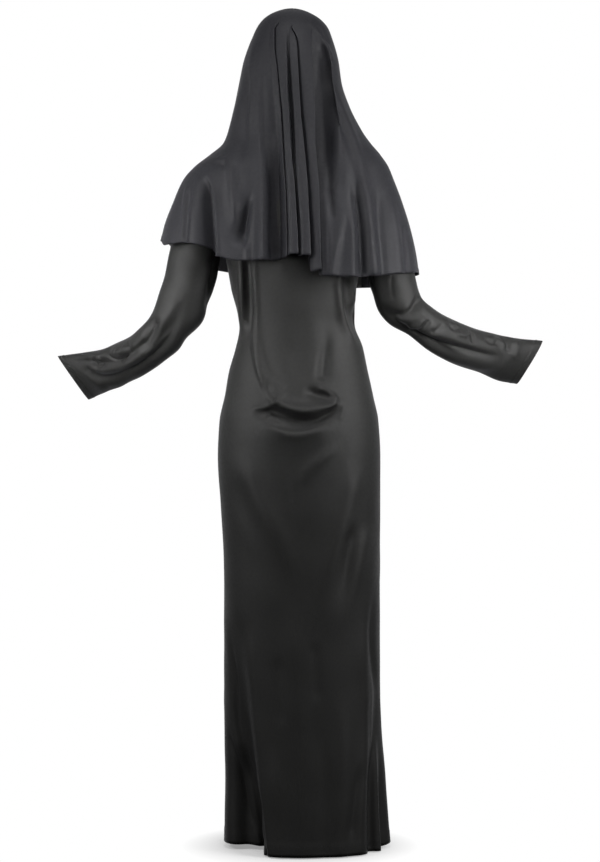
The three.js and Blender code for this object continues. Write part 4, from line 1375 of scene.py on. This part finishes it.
def between(first: tuple, second: tuple, share: float) -> tuple:
    """A line at a share of the way from one line to another.

    Args:
        first: the heights and places of the one.
        second: those of the other.
        share: 0 for the one and 1 for the other.

    Returns:
        The line between them.
    """
    a, b = Curve(*zip(*first)), Curve(*zip(*second))
    heights = (250, 231, 180, 130, 80, 30, -20, -70, -120, -180, -240)
    return tuple((z, float(a(z) + (b(z) - a(z)) * share)) for z in heights)


PLEATS = (
    PleatLine(15.0, beside(LEFT_CREST, 16), ((220, 0), (-230, 0))),
    PleatLine(11.8, beside(LEFT_CREST, 4), ((220, 0), (60, 1), (-60, 2), (-230, 3))),
    PleatLine(10.6, LEFT_CREST, ((220, 0), (60, 1), (-60, 3), (-230, 4))),
    PleatLine(8.6, beside(LEFT_CREST, -7), ((220, 0), (60, -3), (-30, -15), (-100, -30), (-230, -34))),
    PleatLine(5.9, LEFT_BOTTOM, ((230, -1), (100, -5), (20, -12), (-45, -24), (-110, -34), (-230, -38))),
    PleatLine(2.6, beside(LEFT_CREASE, 9), ((220, 0), (100, -2), (-40, -9), (-100, -15), (-230, -18))),
    PleatLine(1.1, beside(LEFT_CREASE, 2), ((250, 1), (225, 2), (120, 1), (-100, 0), (-230, -3))),
    PleatLine(
        0.3, LEFT_CREASE,
        ((258, 0), (246, -5), (231, -8), (100, -13), (0, -12), (-80, -8), (-230, -5)),
    ),
    PleatLine(-0.4, beside(LEFT_CREASE, -1.8), ((258, 0), (235, 0), (120, 2), (0, 3), (-230, 1))),
    PleatLine(-2.3, between(LEFT_CREASE, GAP_LEFT, 0.55), ((240, 0), (215, 1), (120, 5), (0, 7), (-230, 7))),
    PleatLine(-4.0, beside(GAP_LEFT, 0.7), ((235, 0), (200, 3), (120, 6), (0, 7), (-230, 7))),
    PleatLine(
        -4.5, beside(GAP_LEFT, -0.3),
        ((220, 0), (180, -5), (140, -14), (60, -24), (0, -28), (-230, -28)),
    ),
    PleatLine(
        -5.1, beside(GAP_RIGHT, 0.3),
        ((220, 0), (180, -6), (140, -15), (60, -25), (0, -30), (-230, -30)),
    ),
    PleatLine(-5.6, beside(GAP_RIGHT, -0.8), ((235, 0), (200, 2), (120, 4), (0, 5), (-230, 6))),
    PleatLine(-7.4, between(GAP_RIGHT, RIGHT_EDGE, 0.5), ((240, 0), (220, 2), (120, 6), (0, 8), (-230, 9))),
    PleatLine(-9.1, beside(RIGHT_EDGE, 1.2), ((240, 0), (225, 3), (150, 5), (0, 7), (-230, 8))),
    PleatLine(
        -9.7, beside(RIGHT_EDGE, -0.5, 0.1),
        ((240, 0), (232, -6), (200, -10), (100, -13), (0, -13), (-230, -12)),
    ),
    PleatLine(-10.3, beside(RIGHT_EDGE, -1.5, -4), ((240, 0), (150, 0), (0, -3), (-120, -8), (-230, -13))),
    PleatLine(-11.2, beside(RIGHT_EDGE, -3.4, -5.4), ((240, 0), (150, 2), (0, 2), (-140, -1), (-230, -3))),
    PleatLine(
        -13.0, between(RIGHT_EDGE, LAST_EDGE, 0.55),
        ((240, 0), (120, 4), (0, 5), (-140, 5), (-230, 4)),
    ),
    PleatLine(-14.4, beside(LAST_EDGE, 1.6), ((225, 0), (180, 2), (120, 4), (0, 5), (-230, 6))),
    PleatLine(
        -15.1, beside(LAST_EDGE, -0.4),
        ((220, 0), (120, -3), (20, -7), (-30, -10), (-100, -14), (-230, -13)),
    ),
    PleatLine(
        -16.1, beside(LAST_EDGE, -4),
        ((236, 0), (205, -10), (150, -30), (50, -40), (0, -38), (-60, -27), (-120, -9), (-230, -3)),
    ),
    PleatLine(
        -19.6, RIGHT_BOTTOM,
        ((240, 0), (205, -9), (160, -24), (50, -36), (0, -34), (-60, -22), (-120, -7), (-230, -3)),
    ),
    PleatLine(-22.2, beside(RIGHT_BOTTOM, -10), ((231, 0), (194, 1), (100, 0), (-100, 0), (-230, 0))),
    PleatLine(-27.0, beside(RIGHT_BOTTOM, -26), ((231, 0), (-230, 0))),
)


@dataclass
class Veil:
    """The veil: one sheet over the crown and shoulders, closed round the crown and open for the face."""

    sections: Table = VEIL_SECTIONS
    face_edge: Table = FACE_EDGE
    hem: Curve = VEIL_HEM
    crown: float = 288
    face_top: float = 228
    level: float = 12  # below this height the rows lean towards the hem
    hem_left: float = 288
    hem_right: float = -242
    hem_z: float = -272
    gather: float = 3.0  # how strongly the columns crowd towards the sides near the crown
    drift: float = 0.03  # how far they lean to one side for each millimetre up
    pleat_top: float = 262
    pleat_rise: float = 26  # the height over which the pleats begin
    crown_middle: float = 17
    crown_fade: float = 30  # round the middle of the crown there are no folds
    dome_bottom: float = 246
    hem_rows: int = 56
    hem_width: float = 9
    hem_lift: float = 0.4

    def columns(self) -> np.ndarray:
        """The columns' angles, closest where the pleats are.

        Returns:
            The angles in degrees, from the right front edge round the back to the left one.
        """
        knots = [p.column for p in PLEATS][::-1]
        counts = (28, 36, 56, *[5] * (len(knots) - 1), 50, 70, 27)
        return stretches((-180, -90, -50, *knots, 32, 90, 180), counts)

    def levels(self) -> np.ndarray:
        """The heights of the rows from the crown down to where they begin to lean.

        Returns:
            The heights, closest at the top of the face's opening.
        """
        dome = self.crown - np.linspace(0, np.sqrt(self.crown - self.dome_bottom), 15) ** 2
        face = [242, 237, 232.5, self.face_top, 226.8, 224.6, 221.6, 218]
        return np.concatenate([dome, face, np.linspace(218, self.level, 40)[1:]])

    def angle(self, column: np.ndarray, z: np.ndarray, s: dict) -> np.ndarray:
        """Where each column stands at a height, in degrees from the middle of the back.

        Args:
            column: the column's own angle.
            z: the height.
            s: the sections there.

        Returns:
            The angle of each point.
        """
        middle, half = (s["left"] + s["right"]) / 2, np.maximum((s["left"] - s["right"]) / 2, 1e-6)
        plumb = (self.hem_left + self.hem_right) / 2
        plumb = plumb + (self.hem_left - self.hem_right) / 2 * np.sin(np.radians(column))
        offset = plumb + self.drift * (z - self.hem_z) - middle
        reach = np.where(offset > 0, self.hem_left - middle, middle - self.hem_right)
        gather = 1 - np.maximum(1, reach / half) ** -self.gather
        share = np.abs(offset) / half
        closed = share / (1 + gather * share**self.gather) ** (1 / self.gather)
        behind = np.sign(offset) * np.degrees(np.arcsin(np.minimum(1, closed)))
        edge = self.face_edge.at(z)["edge"]
        ahead = np.sign(column) * (90 + (np.abs(column) - 90) / 90 * (edge - 90))
        return np.where(np.abs(column) < 90, behind, ahead)

    def sheet(self) -> Sheet:
        """The veil's surface, with its pleats and folds.

        Returns:
            The surface, closed above the face.
        """
        columns, levels = self.columns(), self.levels()
        upper = np.repeat(levels[:, None], len(columns), axis=1)
        share = (np.arange(1, self.hem_rows + 1) / self.hem_rows)[:, None]
        lower = self.level + share * (self.hem(columns)[None] - self.level)
        z = np.vstack([upper, lower])
        column = np.broadcast_to(columns[None], z.shape)
        s = self.sections.at(z)
        middle, half = (s["left"] + s["right"]) / 2, (s["left"] - s["right"]) / 2
        x, y = round_section(s, self.angle(column, z, s), half, middle)
        x, y, lift = self.pleated(columns, x, y, z, s)
        for at, start, full, width, depth in VEIL_FRONT_FOLDS:
            lift += depth * ease((start - z) / (start - full)) * bell(column - at, width)
        size = np.maximum(np.hypot(x - middle, y), 1e-6)
        out = lift * ease(size / self.crown_fade)
        points = np.stack([x + (x - middle) / size * out, y + y / size * out, z], axis=-1)
        points[0] = [self.crown_middle, 0, self.crown]
        rows = int(np.sum(levels >= self.face_top))
        sheet = Sheet(points, closed_rows=rows, pole=True)
        more = folded(VEIL_FOLDS, points, y) + unevenness(points, 3, 0.4, 90)
        more *= ease((self.crown - z) / self.crown_fade)
        return sheet.moved(more).turned_hem(self.hem_width, self.hem_lift)

    def pleated(self, columns: np.ndarray, x: np.ndarray, y: np.ndarray, z: np.ndarray, s: dict) -> tuple:
        """Moves the columns among the pleats to the pleats' lines.

        Args:
            columns: the columns' angles.
            x: the points' places across.
            y: their places from front to back.
            z: their heights.
            s: the sections at those heights.

        Returns:
            The new places across and from front to back, and how far each point is lifted.
        """
        lift = np.zeros_like(x)
        knots = np.array([p.column for p in PLEATS])
        grown = ease((self.pleat_top - z) / self.pleat_rise)
        middle, half = (s["left"] + s["right"]) / 2, np.maximum((s["left"] - s["right"]) / 2, 1e-6)
        new_x = x.copy()
        for c, column in enumerate(columns):
            if not knots.min() <= column <= knots.max():
                continue
            lines = np.array([p.across(z[:, c]) for p in PLEATS])
            base = np.array([np.interp(k, columns, np.arange(len(columns))) for k in (knots[0], knots[-1])])
            for k, b in zip((0, -1), base):
                low, t = int(b), b - int(b)
                high = min(low + 1, len(columns) - 1)
                lines[k] = x[:, low] * (1 - t) + x[:, high] * t
            at = Curve(knots, lines)(column)
            new_x[:, c] = x[:, c] + (at - x[:, c]) * grown[:, c]
            lift[:, c] = Curve(knots, np.array([p.lift(z[:, c]) for p in PLEATS]))(column)
        side = np.clip(np.abs(new_x - middle) / half, 0, 1)
        back = s["back"] * (1 - side ** s["square"]) ** (1 / s["square"])
        return new_x, np.where(new_x == x, y, back), lift * grown


@dataclass
class Collar:
    """The bib collar: it lies on the habit's front and hangs clear of it below the bust."""

    habit: Habit
    first: float = 105
    last: float = 254
    lift: float = 0.4
    bottom: float = -270
    hang_left: float = 2
    hang_right: float = 14
    hang_power: float = 1.5  # how late it begins to hang clear
    uneven: float = 0.35
    yoke_rows: int = 44
    chest_rows: int = 22
    columns: int = 90
    hem_width: float = 8
    hem_lift: float = 0.3

    def sheet(self) -> Sheet:
        """The collar's surface.

        Returns:
            The surface, clear of the habit's front.
        """
        underarm = self.habit.underarm
        heights = np.linspace(underarm, self.bottom, self.chest_rows)
        angles = np.linspace(self.first, self.last, self.columns)
        sheet = self.habit.panel(angles, -1, self.yoke_rows, heights)
        fallen = np.clip((underarm - sheet.points[..., 2]) / (underarm - self.bottom), 0, 1)
        fallen[: self.yoke_rows] = 0
        across = np.linspace(0, 1, self.columns)
        hang = self.hang_left + (self.hang_right - self.hang_left) * across
        lift = CLOTH + self.lift + hang * fallen**self.hang_power
        lift += self.uneven * np.abs(unevenness(sheet.points, 12, 1.0, 60)) * ease(across / 0.1)
        return sheet.moved(lift).turned_hem(self.hem_width, self.hem_lift)


class Outfit:
    """The whole costume: its pieces, their finishes and how each takes the place of its solid."""

    def __init__(self) -> None:
        """Makes the finishes and the shapes that the pieces share."""
        self.habit_cloth = ClothFinish(
            "habit_cloth", (0.013, 0.013, 0.0125), (0.018, 0.0177, 0.0163)
        ).build()
        self.veil_cloth = ClothFinish(
            "veil_cloth", (0.0125, 0.0123, 0.0162), (0.0173, 0.0170, 0.0225), roughness=(0.60, 0.72)
        ).build()
        self.collar_cloth = ClothFinish(
            "collar_cloth",
            (0.78, 0.78, 0.75),
            (0.86, 0.86, 0.84),
            roughness=(0.7, 0.85),
            sheen=0.1,
            sheen_tint=(1.0, 1.0, 1.0),
            specular=0.3,
        ).build()
        self.black_thread = ThreadFinish("black_thread", (0.02, 0.02, 0.022)).build()
        self.white_thread = ThreadFinish("white_thread", (0.75, 0.75, 0.72)).build()
        self.habit = Habit()
        self.stitches = StitchLine()

    def declare(
        self,
        piece: bpy.types.Object,
        node: str,
        trims: list[bpy.types.Object],
    ) -> None:
        """Hangs a piece of cloth and its stitches on the root and hides the solid that it replaces.

        Args:
            piece: the piece.
            node: the solid that it replaces.
            trims: the stitches on it.
        """
        for one in [piece, *trims]:
            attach(one, "root")
        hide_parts(node)

    def dress_body(self) -> None:
        """The back and the front of the habit, and their hems."""
        inset = self.habit.hem_width - STITCH_INSET
        for name, sheet, flat, area in (
            ("habit_back", self.habit.back(), (0.50, 1.43), 0.62),
            ("habit_front", self.habit.front(), (0.48, 1.41), 0.59),
        ):
            piece = cloth_piece(f"{name}_cloth", sheet, self.habit_cloth)
            hem = self.stitches.sew(f"{name}_hem_stitches", [sheet.hem_path(inset)], self.black_thread)
            self.declare(piece, name, [hem])

    def dress_sleeves(self) -> None:
        """Both sleeves and their cuffs."""
        for name, sleeve, area in (
            ("left", Sleeve(1, LEFT_SLEEVE, LEFT_SLEEVE_BENDS, LEFT_SLEEVE_CREASES, self.habit), 0.165),
            ("right", Sleeve(-1, RIGHT_SLEEVE, RIGHT_SLEEVE_BENDS, RIGHT_SLEEVE_CREASES, self.habit), 0.155),
        ):
            sheet = sleeve.sheet()
            piece = cloth_piece(f"sleeve_{name}_cloth", sheet, self.habit_cloth)
            edge = sheet.hem_path(sleeve.hem_width - STITCH_INSET)
            cuff = self.stitches.sew(f"cuff_{name}_stitches", [edge], self.black_thread)
            self.declare(piece, f"sleeve_{name}", [cuff])

    def dress_collar(self) -> None:
        """The bib collar and its edge."""
        collar = Collar(self.habit)
        sheet = collar.sheet()
        piece = cloth_piece("collar_cloth_piece", sheet, self.collar_cloth)
        last = sheet.points.shape[1] - 1
        paths = [sheet.hem_path(collar.hem_width - STITCH_INSET, slice(3, last - 2))]
        paths += [sheet.side_path(column, slice(2, -2)) for column in (3, last - 3)]
        edge = self.stitches.sew("collar_stitches", paths, self.white_thread)
        self.declare(piece, "collar", [edge])

    def dress_veil(self) -> None:
        """The veil, its hem and the edge round the face."""
        veil = Veil()
        sheet = veil.sheet()
        piece = cloth_piece("veil_cloth_piece", sheet, self.veil_cloth)
        last = sheet.points.shape[1] - 1
        paths = [sheet.hem_path(veil.hem_width - STITCH_INSET, slice(1, last))]
        paths += [sheet.side_path(column, slice(sheet.closed_rows + 1, -2)) for column in (2, last - 2)]
        hem = self.stitches.sew("veil_stitches", paths, self.black_thread)
        self.declare(piece, "veil", [hem])


@dataclass
class Studio:
    """The pale floor, the light and the camera, with sizes in metres."""

    eye: tuple[float, float, float] = (0.0, 4.5, -0.570)
    lens: float = 92.57
    floor: float = -1.4105

    def paint_floor(self) -> bpy.types.Material:
        """A pale matt floor that brightens to the white of the background away from the costume.

        Returns:
            The floor's material.
        """
        material = bpy.data.materials.new("studio_floor")
        n = Nodes.fresh(material)
        place = n.add("ShaderNodeTexCoord").outputs["Object"]
        away = n.add("ShaderNodeVectorMath", {0: place}, operation="LENGTH").outputs["Value"]
        fade = n.add("ShaderNodeMapRange", {0: away, 1: 0.14, 2: 0.24, 3: 0.3, 4: 1.0}).outputs[0]
        matt = n.add("ShaderNodeBsdfDiffuse", {"Color": (0.95, 0.95, 0.95, 1)}).outputs[0]
        white = n.add("ShaderNodeEmission", {"Color": (1, 1, 1, 1), "Strength": 1.0}).outputs[0]
        mixed = n.add("ShaderNodeMixShader", {0: fade, 1: matt, 2: white}).outputs[0]
        n.add("ShaderNodeOutputMaterial", {"Surface": mixed})
        return material

    def lay_floor(self) -> None:
        """Lays a white floor that fades into the surround."""
        mesh = bpy.data.meshes.new("studio_floor")
        mesh.from_pydata([(-6, -6, 0), (6, -6, 0), (6, 6, 0), (-6, 6, 0)], [], [(0, 1, 2, 3)])
        floor = placed("studio_floor", mesh)
        floor.location.z = self.floor
        mesh.materials.append(self.paint_floor())
        floor.visible_diffuse = floor.visible_glossy = False

    def area_light(
        self, name: str, place: tuple, aim: tuple, size: float, power: float, spread: float = 180
    ) -> None:
        """Hangs a soft square light.

        Args:
            name: its name.
            place: where it hangs.
            aim: what it points at.
            size: the length of its side.
            power: its power in watts.
            spread: the angle its light fills, in degrees.
        """
        light = bpy.data.lights.new(name, "AREA")
        light.size = size
        light.energy = power
        light.spread = np.radians(spread)
        lamp = placed(name, light)
        lamp.location = place
        way = np.array(aim, float) - np.array(place, float)
        yaw = np.arctan2(way[1], way[0])
        pitch = np.arctan2(way[2], np.hypot(way[0], way[1]))
        lamp.rotation_euler = (pitch + np.pi / 2, 0, yaw - np.pi / 2)

    def light(self) -> None:
        """Sets a white surround and soft lamps behind, above and beside the costume."""
        scene = bpy.context.scene
        scene.world = bpy.data.worlds.new("studio")
        n = Nodes.fresh(scene.world)
        # Its light is dim above, dark below and white far in front, as from a lit backdrop.
        way = n.add("ShaderNodeSeparateXYZ", {0: n.add("ShaderNodeTexCoord").outputs["Generated"]})
        high = n.add("ShaderNodeMapRange", {0: way.outputs[2], 1: 0.2, 2: 0.9, 3: 0.008, 4: 0.06})
        backdrop = n.add("ShaderNodeMapRange", {0: way.outputs[1], 1: -0.5, 2: -0.95, 3: 0.0, 4: 1.0})
        strength = n.sum_of("ADD", high.outputs[0], backdrop.outputs[0])
        seen = n.add("ShaderNodeBackground", {"Color": (1, 1, 1, 1), "Strength": 1.0})
        around = n.add("ShaderNodeBackground", {"Color": (1, 1, 1, 1), "Strength": strength})
        eye = n.add("ShaderNodeLightPath").outputs["Is Camera Ray"]
        mixed = n.add("ShaderNodeMixShader", {0: eye, 1: around.outputs[0], 2: seen.outputs[0]})
        n.add("ShaderNodeOutputWorld", {"Surface": mixed.outputs[0]})
        self.area_light("left_lamp", (1.6, 0.9, 0.1), (0.2, 0, -0.2), 0.8, 14)
        self.area_light("right_lamp", (-1.6, 0.9, 0.1), (-0.2, 0, -0.2), 0.8, 20)
        self.area_light("left_edge_lamp", (2.4, 0.2, 0.2), (0, 0, -0.3), 1.2, 5)
        self.area_light("top_lamp", (0.0, 1.5, 1.9), (0, 0, -0.1), 1.2, 28)
        self.area_light("left_sleeve_lamp", (1.0, 1.0, -0.3), (0.36, 0, -0.3), 0.5, 0.7, 30)
        self.area_light("right_sleeve_lamp", (-1.0, 1.0, -0.3), (-0.34, 0, -0.29), 0.5, 0.7, 30)
        scene.view_settings.view_transform = "Standard"
        scene.view_settings.look = "None"

    def aim_camera(self) -> None:
        """Puts the camera behind the costume, level, at the photograph's distance."""
        camera = bpy.data.cameras.new("camera")
        camera.sensor_fit = "VERTICAL"
        camera.sensor_height = 36
        camera.lens = self.lens
        eye = placed("camera", camera)
        eye.location = self.eye
        eye.rotation_euler = (np.pi / 2, 0, np.pi)
        bpy.context.scene.camera = eye


def main() -> None:
    """Builds the costume and its studio."""
    logging.basicConfig(level=logging.INFO, format="%(name)s: %(message)s")
    studio = Studio()
    studio.aim_camera()
    studio.light()
    studio.lay_floor()
    outfit = Outfit()
    outfit.dress_body()
    outfit.dress_sleeves()
    outfit.dress_collar()
    outfit.dress_veil()


if __name__ == "__main__":
    main()
